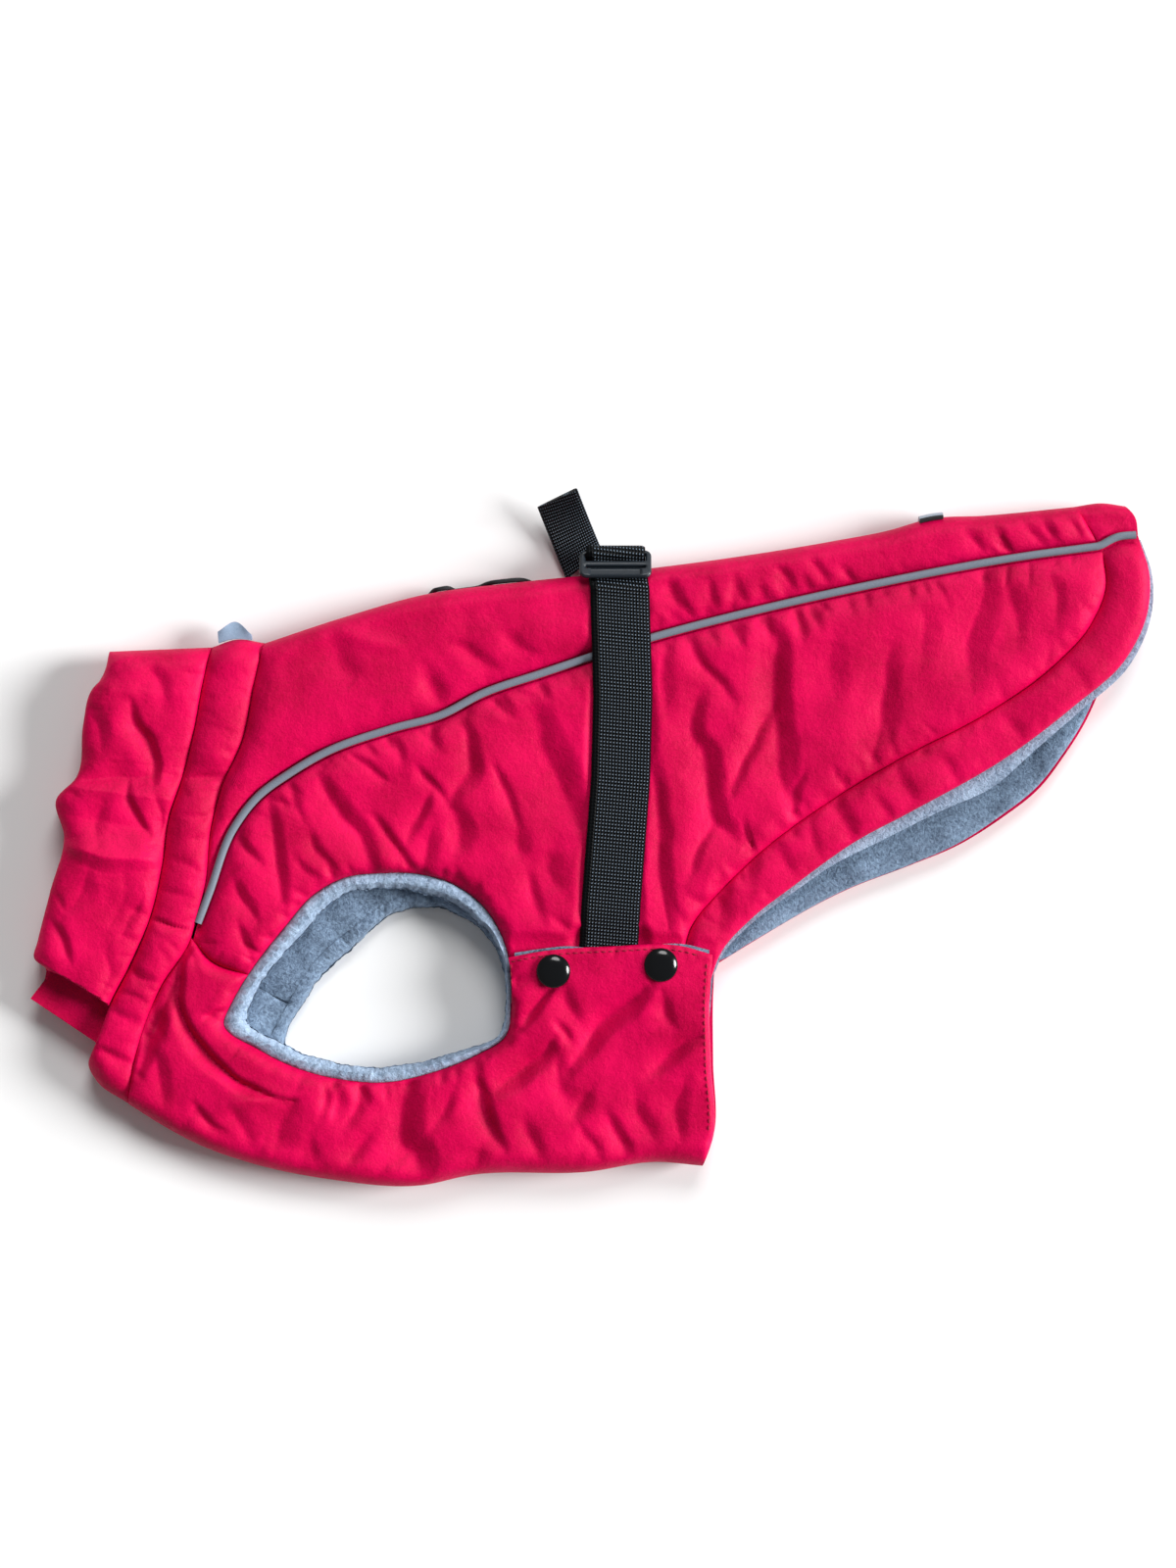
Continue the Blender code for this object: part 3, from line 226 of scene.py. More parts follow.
# Pleats where cloth is gathered into a seam, as rows for folds: one every so many millimetres, unevenly, each
# from beyond the seam across it into the panel, on the left (side 1) or right (-1) of the edge, at a slant.
def pleats(edge, side, every, reach, width, depth, slant, seed, part=(0, 1)):
    chance = np.random.default_rng(seed)
    line = edge(np.linspace(*part, 500))
    travelled = lengthAlong(line)
    count = max(int(travelled[-1] / every), 1)
    at = (np.arange(count) + 0.5 + chance.uniform(-0.45, 0.45, count)) * every
    tangent = np.gradient(line, travelled, axis=0)
    rows = []
    for where in at:
        place, ahead = (np.array([np.interp(where, travelled, column) for column in pair.T])
                        for pair in (line, tangent))
        angle = slant + chance.normal(0, 0.28)
        way = side * np.array([-ahead[1], ahead[0]]) * np.cos(angle) + ahead * np.sin(angle)
        long, size = reach * chance.uniform(0.4, 1.5), chance.uniform(0.6, 1.4)
        bent = place + 0.4 * long * way + chance.normal(0, 0.08) * long * np.array([-way[1], way[0]])
        path = [place - 0.4 * long * way, bent, place + long * way]
        left = (-way[1] + 0.25 * way[0]) > 0       # the narrow flank lies towards +X, as on the long folds
        rows.append((path if left else path[::-1], width * size, depth * size * chance.uniform(0.4, 1.15)))
    return rows


# Unevenness of the wadding: three layers of soft noise.
def loft(points, seed):
    return layeredNoise(points, [(27, 0.75, seed), (10, 0.32, seed + 1), (4.5, 0.1, seed + 2)])


# Meshes

# Points seen from above, with their height added.
def withHeight(points, height):
    return np.concatenate([points, np.broadcast_to(height, points.shape[:-1])[..., None]], axis=-1)


# Whether the signed volume is above 0: the sum of the triple products of each quad's two triangles.
def pointsOutward(points, faces):
    a, b, c, d = (points[faces[:, i]] for i in range(4))
    return (np.cross(a, b) * c).sum() + (np.cross(a, c) * d).sum() > 0


# One piece, from points in millimetres, quads and caps, all turned to face outwards. Its edges are sharp past
# an angle, and it stands for the nodes.
def makePiece(name, points, faces, finish, nodes=(), uv=None, caps=(), sharp=52):
    faces = np.asarray(faces)
    if not pointsOutward(points, faces):
        faces = faces[:, ::-1]
        caps = [cap[::-1] for cap in caps]
    mesh = bpy.data.meshes.new(name)
    mesh.from_pydata((points * mm).tolist(), [], faces.tolist() + [list(cap) for cap in caps])
    if uv is not None:
        corners = np.concatenate([faces.ravel()] + [np.array(cap) for cap in caps]).astype(int)
        mesh.uv_layers.new(name="cloth").data.foreach_set("uv", (uv[corners] * mm).ravel())
    mesh.materials.append(finish)
    mesh.shade_smooth()
    mesh.set_sharp_from_angle(angle=radians(sharp))
    piece = bpy.data.objects.new(name, mesh)
    bpy.context.scene.collection.objects.link(piece)
    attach(piece, "root")
    if nodes:
        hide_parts(*nodes)


# Closed wall between two grids: the outer cells, the inner cells turned over, and a rim on every edge that
# belongs to a single cell, also round a hole.
def wall(name, outer, inner, finish, slot, nodes=(), keep=None, sharp=52):
    rows, columns = outer.shape[:2]
    count = rows * columns
    ids = np.arange(count).reshape(rows, columns)
    cells = np.stack([ids[:-1, :-1], ids[1:, :-1], ids[1:, 1:], ids[:-1, 1:]], axis=-1)
    cells = cells.reshape(-1, 4) if keep is None else cells[keep]
    edges = np.stack([cells, np.roll(cells, -1, axis=1)], axis=-1).reshape(-1, 2)
    first, uses = np.unique(np.sort(edges, axis=1) @ (count, 1), return_index=True, return_counts=True)[1:]
    border = edges[first[uses == 1]]
    rim = np.stack([border[:, 1], border[:, 0], border[:, 0] + count, border[:, 1] + count], axis=1)
    faces = np.concatenate([cells, cells[:, ::-1] + count, rim])
    points = np.concatenate([outer.reshape(-1, 3), inner.reshape(-1, 3)])
    used, faces = np.unique(faces, return_inverse=True)
    makePiece(name, points[used], faces.reshape(-1, 4), finish, nodes, sharp=sharp)


# Closed loop of closed sections, sections[place round the loop, point round the section].
def loop(name, sections, finish, node):
    around, points = sections.shape[:2]
    ids = np.arange(around * points).reshape(around, points)
    ahead, aside = np.roll(ids, -1, axis=0), np.roll(ids, -1, axis=1)
    faces = np.stack([ids, ahead, np.roll(ahead, -1, axis=1), aside], axis=-1).reshape(-1, 4)
    makePiece(name, sections.reshape(-1, 3), faces, finish, [node], sharp=60)


# Section carried along a path: path + across * side + up * lift, where side is level and square to the path.
def carried(path, across, up):
    forward = unit(np.gradient(path, axis=0))
    side = unit(np.cross(forward, (0, 0, 1)))
    lift = np.cross(side, forward)
    return path[:, None] + across[..., None] * side[:, None] + up[..., None] * lift[:, None]


# Points round a circle, as angles.
def fullTurn(count):
    return np.arange(count) * 2 * pi / count


# Faces of stacked rings with a cap at both ends.
def ringFaces(rings, points, offset=0):
    ids = np.arange(rings * points).reshape(rings, points) + offset
    turned = np.roll(ids, -1, axis=1)
    faces = np.stack([ids[:-1], ids[1:], turned[1:], turned[:-1]], axis=-1).reshape(-1, 4)
    return faces, [ids[0].tolist(), ids[-1, ::-1].tolist()]


# Share of a stitch's pitch that its thread covers and where it starts, its rise in the middle and how deep it
# is sunk, its thickness at the ends, then the points round and along it.
stitch = {"share": 0.74, "start": 0.13, "rise": 0.3, "sunk": 0.12, "ends": 0.35, "sides": 6, "steps": 5}


# Row of thread stitches: each one a spindle laid along a stretch of the path, highest in its middle.
def stitches(name, path, pitch, radius):
    sides, steps = stitch["sides"], stitch["steps"]
    length = lengthAlong(path)
    count = int(length[-1] // pitch)
    t = np.linspace(0, 1, steps)
    at = (np.arange(count)[:, None] + stitch["start"] + stitch["share"] * t) * pitch
    line = np.stack([np.interp(at, length, column) for column in path.T], axis=-1)
    line[..., 2] += stitch["rise"] * np.sin(pi * t) - stitch["sunk"]
    side = np.cross(unit(line[:, -1] - line[:, 0]), (0, 0, 1))
    angle = fullTurn(sides)[None, None, :, None]
    thick = radius * (stitch["ends"] + (1 - stitch["ends"]) * np.sin(pi * t) ** 0.5)[None, :, None, None]
    rings = (line[:, :, None] + thick * np.cos(angle) * side[:, None, None]
             + thick * np.sin(angle) * (0, 0, 1))
    faces, caps = zip(*(ringFaces(steps, sides, i * steps * sides) for i in range(count)))
    makePiece(name, rings.reshape(-1, 3), np.concatenate(faces), redThread,
              caps=[cap for pair in caps for cap in pair])


# Materials

# An sRGB hex value as a linear colour.
def toLinear(hexColour):
    channels = np.array([int(hexColour[i:i + 2], 16) for i in (1, 3, 5)]) / 255
    return (*np.where(channels <= 0.04045, channels / 12.92, ((channels + 0.055) / 1.055) ** 2.4), 1)


# Adds a node: sockets are given a value or another node's socket, the rest are its settings.
def addNode(tree, kind, sockets=None, **settings):
    node = tree.nodes.new(kind)
    for key, value in settings.items():
        setattr(node, key, value)
    for socket, value in (sockets or {}).items():
        if isinstance(value, bpy.types.NodeSocket):
            tree.links.new(value, node.inputs[socket])
        else:
            node.inputs[socket].default_value = value
    return node


# A new material with its node tree and its shader, whose own sockets are set.
def newMaterial(name, gloss):
    made = bpy.data.materials.new(name)
    made.use_nodes = True
    shader = made.node_tree.nodes["Principled BSDF"]
    for socket, value in gloss.items():
        shader.inputs[socket].default_value = value
    return made, made.node_tree, shader


# Ramp between two colours over a stretch of a value.
def colourRamp(tree, value, low, lowColour, high, highColour):
    ramp = addNode(tree, "ShaderNodeValToRGB", {"Fac": value})
    ramp.color_ramp.elements[0].position, ramp.color_ramp.elements[1].position = low, high
    ramp.color_ramp.elements[0].color = toLinear(lowColour)
    ramp.color_ramp.elements[1].color = toLinear(highColour)
    return ramp.outputs["Color"]


shellFinish = {"deep": "#ac0036", "bright": "#d6004e", "blotch": 26, "grain": 0.9, "crinkle": 3.0,
               "gloss": {"Roughness": 0.5, "Specular IOR Level": 0.09, "Sheen Weight": 0.1,
                         "Sheen Roughness": 0.4, "Sheen Tint": toLinear("#ff1f66")}}


# Dyed polyester taffeta over wadding: a close weave with a soft sheen, a little uneven in colour.
def makeTaffeta():
    made, tree, shader = newMaterial("dyed polyester taffeta", shellFinish["gloss"])
    place = addNode(tree, "ShaderNodeTexCoord").outputs["Object"]
    blotch = addNode(tree, "ShaderNodeTexNoise", {"Vector": place, "Scale": 1000 / shellFinish["blotch"],
                                                  "Detail": 5.0, "Roughness": 0.62})
    grain = addNode(tree, "ShaderNodeTexNoise", {"Vector": place, "Scale": 1000 / shellFinish["grain"],
                                                 "Detail": 4.0, "Roughness": 0.7})
    mixed = addNode(tree, "ShaderNodeMath", {0: grain.outputs["Fac"], 1: 0.7, 2: blotch.outputs["Fac"]},
                    operation="MULTIPLY_ADD")
    colour = colourRamp(tree, mixed.outputs[0], 0.55, shellFinish["deep"], 1.15, shellFinish["bright"])
    tree.links.new(colour, shader.inputs["Base Color"])
    crinkle = addNode(tree, "ShaderNodeTexNoise", {"Vector": place, "Scale": 1000 / shellFinish["crinkle"],
                                                   "Detail": 3.0, "Roughness": 0.6, "Distortion": 0.4})
    broad = addNode(tree, "ShaderNodeBump", {"Height": crinkle.outputs["Fac"], "Strength": 0.5,
                                             "Distance": 0.6 * mm})
    bump = addNode(tree, "ShaderNodeBump", {"Height": grain.outputs["Fac"], "Strength": 0.5,
                                            "Distance": 0.3 * mm, "Normal": broad.outputs["Normal"]})
    tree.links.new(bump.outputs["Normal"], shader.inputs["Normal"])
    return made


# The two colour pairs are one fleece painted twice: 'lining' darker as fleece in shade, 'binding' paler as
# fleece in light.
fleeceFinish = {"lining": ("#44546a", "#879eb8"), "binding": ("#6b7e97", "#adc3dc"), "tuft": 1.5, "patch": 14,
                "gloss": {"Roughness": 0.95, "Specular IOR Level": 0.1, "Sheen Weight": 0.6,
                          "Sheen Roughness": 0.6, "Sheen Tint": toLinear("#c4d6ea")}}


# Polyester polar fleece: a knit brushed into a matt nap whose tufts catch the light. part picks the colours:
# 'lining' is painted darker as fleece in shade, 'binding' is painted paler as lit fleece.
def makeFleece(name, part):
    made, tree, shader = newMaterial(name, fleeceFinish["gloss"])
    place = addNode(tree, "ShaderNodeTexCoord").outputs["Object"]
    tuft = addNode(tree, "ShaderNodeTexNoise", {"Vector": place, "Scale": 1000 / fleeceFinish["tuft"],
                                                "Detail": 4.0, "Roughness": 0.65, "Distortion": 0.6})
    broad = addNode(tree, "ShaderNodeTexNoise", {"Vector": place, "Scale": 1000 / fleeceFinish["patch"],
                                                 "Detail": 3.0})
    mixed = addNode(tree, "ShaderNodeMath", {0: broad.outputs["Fac"], 1: 0.45, 2: tuft.outputs["Fac"]},
                    operation="MULTIPLY_ADD")
    colour = colourRamp(tree, mixed.outputs[0], 0.52, fleeceFinish[part][0], 0.93, fleeceFinish[part][1])
    tree.links.new(colour, shader.inputs["Base Color"])
    bump = addNode(tree, "ShaderNodeBump", {"Height": tuft.outputs["Fac"], "Strength": 0.9,
                                            "Distance": 0.9 * mm})
    tree.links.new(bump.outputs["Normal"], shader.inputs["Normal"])
    return made


# Millimetres between rows and between columns of yarn, how much each column is set off from the last, and
# where a shade painted along the left edge is full and where it has gone, across the webbing's own UV, in
# metres. The thread colour is painted on the black yarn's crests as highlights.
webbingFinish = {"dark": "#010306", "thread": "#8295a8", "rib": 1.5, "wale": 1.35, "stagger": 0.09,
                 "paintedEdgeShade": (0.0396, 0.0404), "gloss": {"Roughness": 0.5, "Specular IOR Level": 0.14}}


# Woven polypropylene webbing: glossy black yarns that cross in rows, their crests painted pale as highlights,
# dark between them, and a shade painted along one edge.
def makeWebbing():
    made, tree, shader = newMaterial("woven polypropylene webbing", webbingFinish["gloss"])
    place = addNode(tree, "ShaderNodeUVMap", uv_map="cloth").outputs["UV"]
    axes = addNode(tree, "ShaderNodeSeparateXYZ", {"Vector": place})
    across = addNode(tree, "ShaderNodeMath", {0: axes.outputs["X"], 1: 1000 / webbingFinish["wale"]},
                     operation="MULTIPLY").outputs[0]
    column = addNode(tree, "ShaderNodeMath", {0: across}, operation="FLOOR").outputs[0]
    along = addNode(tree, "ShaderNodeMath", {0: axes.outputs["Y"], 1: 1000 / webbingFinish["rib"]},
                    operation="MULTIPLY").outputs[0]
    stagger = addNode(tree, "ShaderNodeMath", {0: column, 1: webbingFinish["stagger"], 2: along},
                      operation="MULTIPLY_ADD").outputs[0]
    crests = []
    for value in (across, stagger):
        turn = addNode(tree, "ShaderNodeMath", {0: value, 1: pi}, operation="MULTIPLY").outputs[0]
        wave = addNode(tree, "ShaderNodeMath", {0: turn}, operation="SINE").outputs[0]
        crests.append(addNode(tree, "ShaderNodeMath", {0: wave}, operation="ABSOLUTE").outputs[0])
    both = addNode(tree, "ShaderNodeMath", {0: crests[0], 1: crests[1]}, operation="MULTIPLY").outputs[0]
    # The crests dim towards the left edge: painted shade along that edge.
    fullShadeEnd, shadeFreeStart = webbingFinish["paintedEdgeShade"]
    paintedEdgeShade = addNode(tree, "ShaderNodeMapRange", {"Value": axes.outputs["X"], "From Min": fullShadeEnd,
                                                    "From Max": shadeFreeStart, "To Min": 0.3, "To Max": 1.0})
    crest = addNode(tree, "ShaderNodeMath", {0: both, 1: paintedEdgeShade.outputs[0]},
                    operation="MULTIPLY").outputs[0]
    # Crests are coloured pale: painted highlights on the black yarn.
    colour = colourRamp(tree, crest, 0.79, webbingFinish["dark"], 1.0, webbingFinish["thread"])
    tree.links.new(colour, shader.inputs["Base Color"])
    bump = addNode(tree, "ShaderNodeBump", {"Height": crest, "Strength": 1.0, "Distance": 0.5 * mm})
    tree.links.new(bump.outputs["Normal"], shader.inputs["Normal"])
    return made


# Colour, least and greatest roughness of each moulding, and the millimetres between scuffs.
plasticFinish = {"snap": ("#06080b", 0.1, 0.2), "slide": ("#1a222a", 0.28, 0.45), "scuff": 2.0, "IOR": 1.48}


# Injection-moulded acetal: black, glossy, faintly uneven from wear.
def makePlastic(name, part):
    colour, smoothest, roughest = plasticFinish[part]
    made, tree, shader = newMaterial(name, {"Base Color": toLinear(colour), "IOR": plasticFinish["IOR"]})
    place = addNode(tree, "ShaderNodeTexCoord").outputs["Object"]
    wear = addNode(tree, "ShaderNodeTexNoise", {"Vector": place, "Scale": 1000 / plasticFinish["scuff"],
                                                "Detail": 3.0})
    rough = addNode(tree, "ShaderNodeMapRange", {"Value": wear.outputs["Fac"], "To Min": smoothest,
                                                "To Max": roughest})
    tree.links.new(rough.outputs[0], shader.inputs["Roughness"])
    return made


# The loop's pale silver is a painted highlight on the dark tail loop.
tapeFinish = {"piping": ("#68717e", "#7d8692"), "tab": ("#778ca4", "#93a7bf"), "loop": ("#96a0ae", "#bac4d0"),
              "bead": 0.5, "gloss": {"Roughness": 0.55, "Specular IOR Level": 0.3}}


# Glass-bead reflective tape: a grey, fine-grained coat with a dull shine. Real beads are too fine to show, so
# these are drawn coarser.
def makeTape(name, part):
    made, tree, shader = newMaterial(name, tapeFinish["gloss"])
    place = addNode(tree, "ShaderNodeTexCoord").outputs["Object"]
    bead = addNode(tree, "ShaderNodeTexNoise", {"Vector": place, "Scale": 1000 / tapeFinish["bead"],
                                                "Detail": 3.0, "Roughness": 0.7})
    colour = colourRamp(tree, bead.outputs["Fac"], 0.25, tapeFinish[part][0], 0.75, tapeFinish[part][1])
    tree.links.new(colour, shader.inputs["Base Color"])
    bump = addNode(tree, "ShaderNodeBump", {"Height": bead.outputs["Fac"], "Strength": 0.3,
                                            "Distance": 0.1 * mm})
    tree.links.new(bump.outputs["Normal"], shader.inputs["Normal"])
    return made


threadFinish = {"red": ("#7c0026", "#a40034"), "black": ("#08090b", "#1c1f24"), "twist": 1 / 2.2,
                "gloss": {"Roughness": 0.8}}


# Spun polyester sewing thread or binding: matt, with a fine twist.
def makeThread(name, part):
    made, tree, shader = newMaterial(name, threadFinish["gloss"])
    place = addNode(tree, "ShaderNodeTexCoord").outputs["Object"]
    twist = addNode(tree, "ShaderNodeTexNoise", {"Vector": place, "Scale": 1000 / threadFinish["twist"],
                                                 "Detail": 2.0})
    colour = colourRamp(tree, twist.outputs["Fac"], 0.3, threadFinish[part][0], 0.7, threadFinish[part][1])
    tree.links.new(colour, shader.inputs["Base Color"])
    return made


taffeta, webbing = makeTaffeta(), makeWebbing()
# One fleece made twice: painted darker as in shade, and painted paler as lit.
fleece = makeFleece("brushed polyester fleece", "lining")
paleLitFleece = makeFleece("brushed polyester fleece, painted pale as lit", "binding")
acetal = makePlastic("moulded black acetal, polished", "snap")
slideAcetal = makePlastic("moulded black acetal, satin", "slide")
tape = makeTape("glass-bead reflective tape", "piping")
tabTape = makeTape("folded reflective ribbon, blue-grey", "tab")
# Painted pale silver as the tail loop's highlight.
paleHighlightTape = makeTape("folded reflective ribbon, silver", "loop")
redThread = makeThread("spun polyester thread, wine red", "red")
blackThread = makeThread("black bias binding", "black")
print("materials made")

# Seams and heights of the coat

coat = {
    "middle": 10,        # height of the plane between the coat's two sides
    "liningRoom": 3.3,   # from that plane to the shell's inner face
    "foldRoom": 1.2,     # the same inside a fold, and how thick the shell is there
    "lining": (0.6, 3),  # from that plane to the fleece's inner and outer face
    "puff": 11,          # from that plane to the top of the padding
    "seamUpper": 6,      # from that plane to a seam of the upper side
    "seamLower": 4.6,    # the same on the side that lies on the floor
    "shoulder": 13,      # how far from a seam the padding reaches its height
    "puffReach": 20,     # how far past a fold it does
    "thinnest": 1,       # least thickness of the shell
    "hemPuff": 9.4, "hemEdge": 5,      # top of the hem band's padding, and height of its outer edge
    "foldRadius": 10, "tailRadius": 7,
    "shelf": 2.1, "endShelf": 3.4,     # flat strip beside a seam, where the piping lies
    "gap": 0.05,         # half the clear distance between two pieces
}


# Height of a seam from the middle plane, on the upper side (1) or the lower one (-1).
def seamHeight(side):
    return coat["seamUpper"] if side > 0 else coat["seamLower"]


# Lines of the coat seen from above: x and y of their points
spine = [(-137.9, 83.2), (-104.6, 94.2), (-68.8, 104.2), (-30, 109.2), (13, 113.6), (58, 119.3),
         (103.8, 126.7), (128, 131.4), (145, 136.2), (168.8, 137.6), (206, 141.2)]
spineHem = [(206, 141.2), (218, 142.8), (228, 141.5)]
pipingLine = [(-166.4, -37.3), (-160.9, -22.6), (-150.8, 4.2), (-140.8, 17.5), (-126.2, 28.3),
              (-111.7, 36.7), (-83.8, 46.7), (-62.9, 52.5), (-45, 61.7), (-20.8, 70), (26.7, 85.4),
              (71.7, 97.1), (124.6, 108.8), (182.9, 119.6), (216.5, 124.2)]
pipingHem = [(216.5, 124.2), (224, 128), (233, 129)]
bandSeam = [(-137.9, 83.2), (-142.1, 65.8), (-147, 42), (-155.4, 23), (-160.4, 4.2), (-162.9, -20.4),
            (-167.4, -37), (-168.8, -42), (-181.7, -62.9), (-193.3, -96.7), (-195.8, -112.9)]
backRow, chestRow, liningRows = 5, 7, (1, 9)      # rows of the band seam where the panels and linings start
bellyFold = [(-195.8, -112.9), (-181.2, -122.1), (-165.4, -130.4), (-144.2, -137.9), (-110, -145),
             (-71.2, -147.5), (-50.4, -143.2), (0, -141.7), (27.9, -137.6), (48.3, -139.2)]
sideCorner = (-168, -42.9)
chestSeamUpper = [(-168.8, -42), (-160, -52), (-145, -57.5), (-120, -62), (-90, -63), (-62, -61)]
chestSeamLower = [(-168.8, -42), (-158, -54), (-139, -64.5), (-122, -72), (-95, -74), (-62, -66)]
flapTop = [(-36, -50.5), (-20.8, -47.6), (9, -45.4), (40, -45.4), (52.4, -49)]
flapSide = [(48.3, -139.2), (52.6, -127), (51.8, -95), (51.2, -69), (52.4, -49)]
flapSideLower = [(48.3, -139.2), (53, -127), (53, -95), (52.9, -70), (53.6, -53.5)]
underFlap = [(-35, -63.5), (0, -63.5), (38, -63.5)]
sideSeamLower = [(-36, -53.5), (0, -53.5), (44, -53.5)]
bellySeamLower = [(-36, -53.5), (10, -53.5), (53.6, -53.5)]
grooveUpper = [(38, -63.5), (44, -36.5), (57.9, -20), (74.6, -4.2), (97.1, 12.5), (131.7, 33.8),
               (168.8, 53.3), (196.7, 72.9), (213, 91), (219.4, 107), (218.2, 120.2)]
grooveLower = [(44, -53.5), (62, -29), (101, -6), (129, 6), (149, 14.5), (165, 25), (179, 37),
               (194, 58), (205, 78), (215, 101), (217.2, 120.2)]
grooveSpine = [(216.5, 124.2), (211.5, 133), (206, 141.2)]
hemUpper = [(51, -62), (56, -48.5), (70, -33), (85.8, -20.8), (113.8, -0.8), (136.2, 11.2),
            (177.9, 35), (205.8, 56.2), (227.5, 75.8), (237.3, 97), (238, 112), (233, 129)]
hemLower = [(55.6, -52.8), (69.2, -44.4), (110.4, -21.6), (136.8, -11.4), (157, -3), (176, 8.8),
            (192, 21.5), (202.5, 35.2), (211, 48.6), (219, 66), (230, 90), (236, 108), (233, 129)]
hemSpine = [(233, 129), (232, 136), (228, 141.5)]
# Where one stretch of an edge ends and the next begins, as shares of the edge
sideShares = (0.235, 0.295, 0.445)     # low edge of a side: chest seam, leg hole, side seam, then hem
chestShares = (0.48, 0.6)              # top edge of a chest: chest seam, leg hole, then flap

# Leg holes: x, y and the width of the binding
legHoleUpper = [(-155, -78.3, 10), (-151.2, -69, 8.5), (-144.2, -57.1, 7.5), (-128.8, -37.1, 8),
                (-117, -23.8, 8), (-104, -16.6, 6.5), (-88, -14.6, 6.8), (-72, -15, 7.6),
                (-57.5, -19.2, 8), (-45, -28.4, 7), (-37.1, -40.8, 4), (-33.6, -53, 2.8),
                (-33, -70, 2.6), (-35.5, -84, 3), (-47.5, -91.7, 5), (-66.7, -99.2, 6),
                (-85.8, -103.3, 6.5), (-105, -102.1, 7), (-122, -98, 7.5), (-140, -89.5, 8.5)]
legHoleLower = [(-136.5, -92, 8), (-128, -70, 7), (-114.5, -49.5, 7), (-101, -38, 7), (-80, -24.4, 7),
                (-65.5, -23, 7), (-50.5, -27.8, 7), (-37.5, -38, 7), (-30.5, -52, 7), (-28.5, -70, 7),
                (-33, -89, 7), (-49, -99, 7), (-67, -104, 7), (-88, -106, 7), (-114, -102.5, 7)]
legHoleCentre = np.array([-88.0, -64.0])


# Closed cubic through a leg hole's rows: x, y and the binding's width at even steps of its length.
def holeOutline(table, count):
    rows = np.array(table, float)
    around = np.concatenate([rows, rows, rows])
    knots = lengthAlong(around[:, :2])
    slopes = np.gradient(around, knots, axis=0)
    first = len(rows)
    where = knots[first] + (knots[2 * first] - knots[first]) * np.arange(count) / count
    row = np.searchsorted(knots, where, side="right") - 1
    span = (knots[row + 1] - knots[row])[:, None]
    t = ((where - knots[row]) / span[:, 0])[:, None]
    return hermite(around, slopes, row, t, span)


# The outline as an edge: closed, and a hair outside the binding.
def holeEdge(table, clear=0.03):
    outline = holeOutline(table, 500)[:, :2]
    outline = outline + unit(outline - legHoleCentre) * clear
    closed = np.concatenate([outline, outline[:1]])
    share = np.linspace(0, 1, len(closed))
    return lambda at: np.stack([np.interp(at, share, column) for column in closed.T], axis=-1)


# Points inside the hole move to its edge, and cells wholly inside it go. A point is inside if a ray from it
# crosses the edge an odd number of times.
def openHole(points, edge):
    ring = edge(np.linspace(0, 1, 360))
    x, y = points[..., 0, None], points[..., 1, None]
    x1, y1, x2, y2 = ring[:-1, 0], ring[:-1, 1], ring[1:, 0], ring[1:, 1]
    rises = (y1 > y) != (y2 > y)
    with np.errstate(divide="ignore", invalid="ignore"):
        crossed = rises & (x < x1 + (y - y1) / (y2 - y1) * (x2 - x1))
    inside = crossed.sum(axis=-1) % 2 == 1
    keep = ~(inside[:-1, :-1] & inside[1:, :-1] & inside[1:, 1:] & inside[:-1, 1:])
    rows, columns = np.nonzero(inside)
    line = edge(np.linspace(0, 1, 1500))
    moved = points.copy()
    moved[rows, columns] = line[nearestMark(points[rows, columns], line)]
    return moved, keep


upperHole, lowerHole = holeEdge(legHoleUpper), holeEdge(legHoleLower)
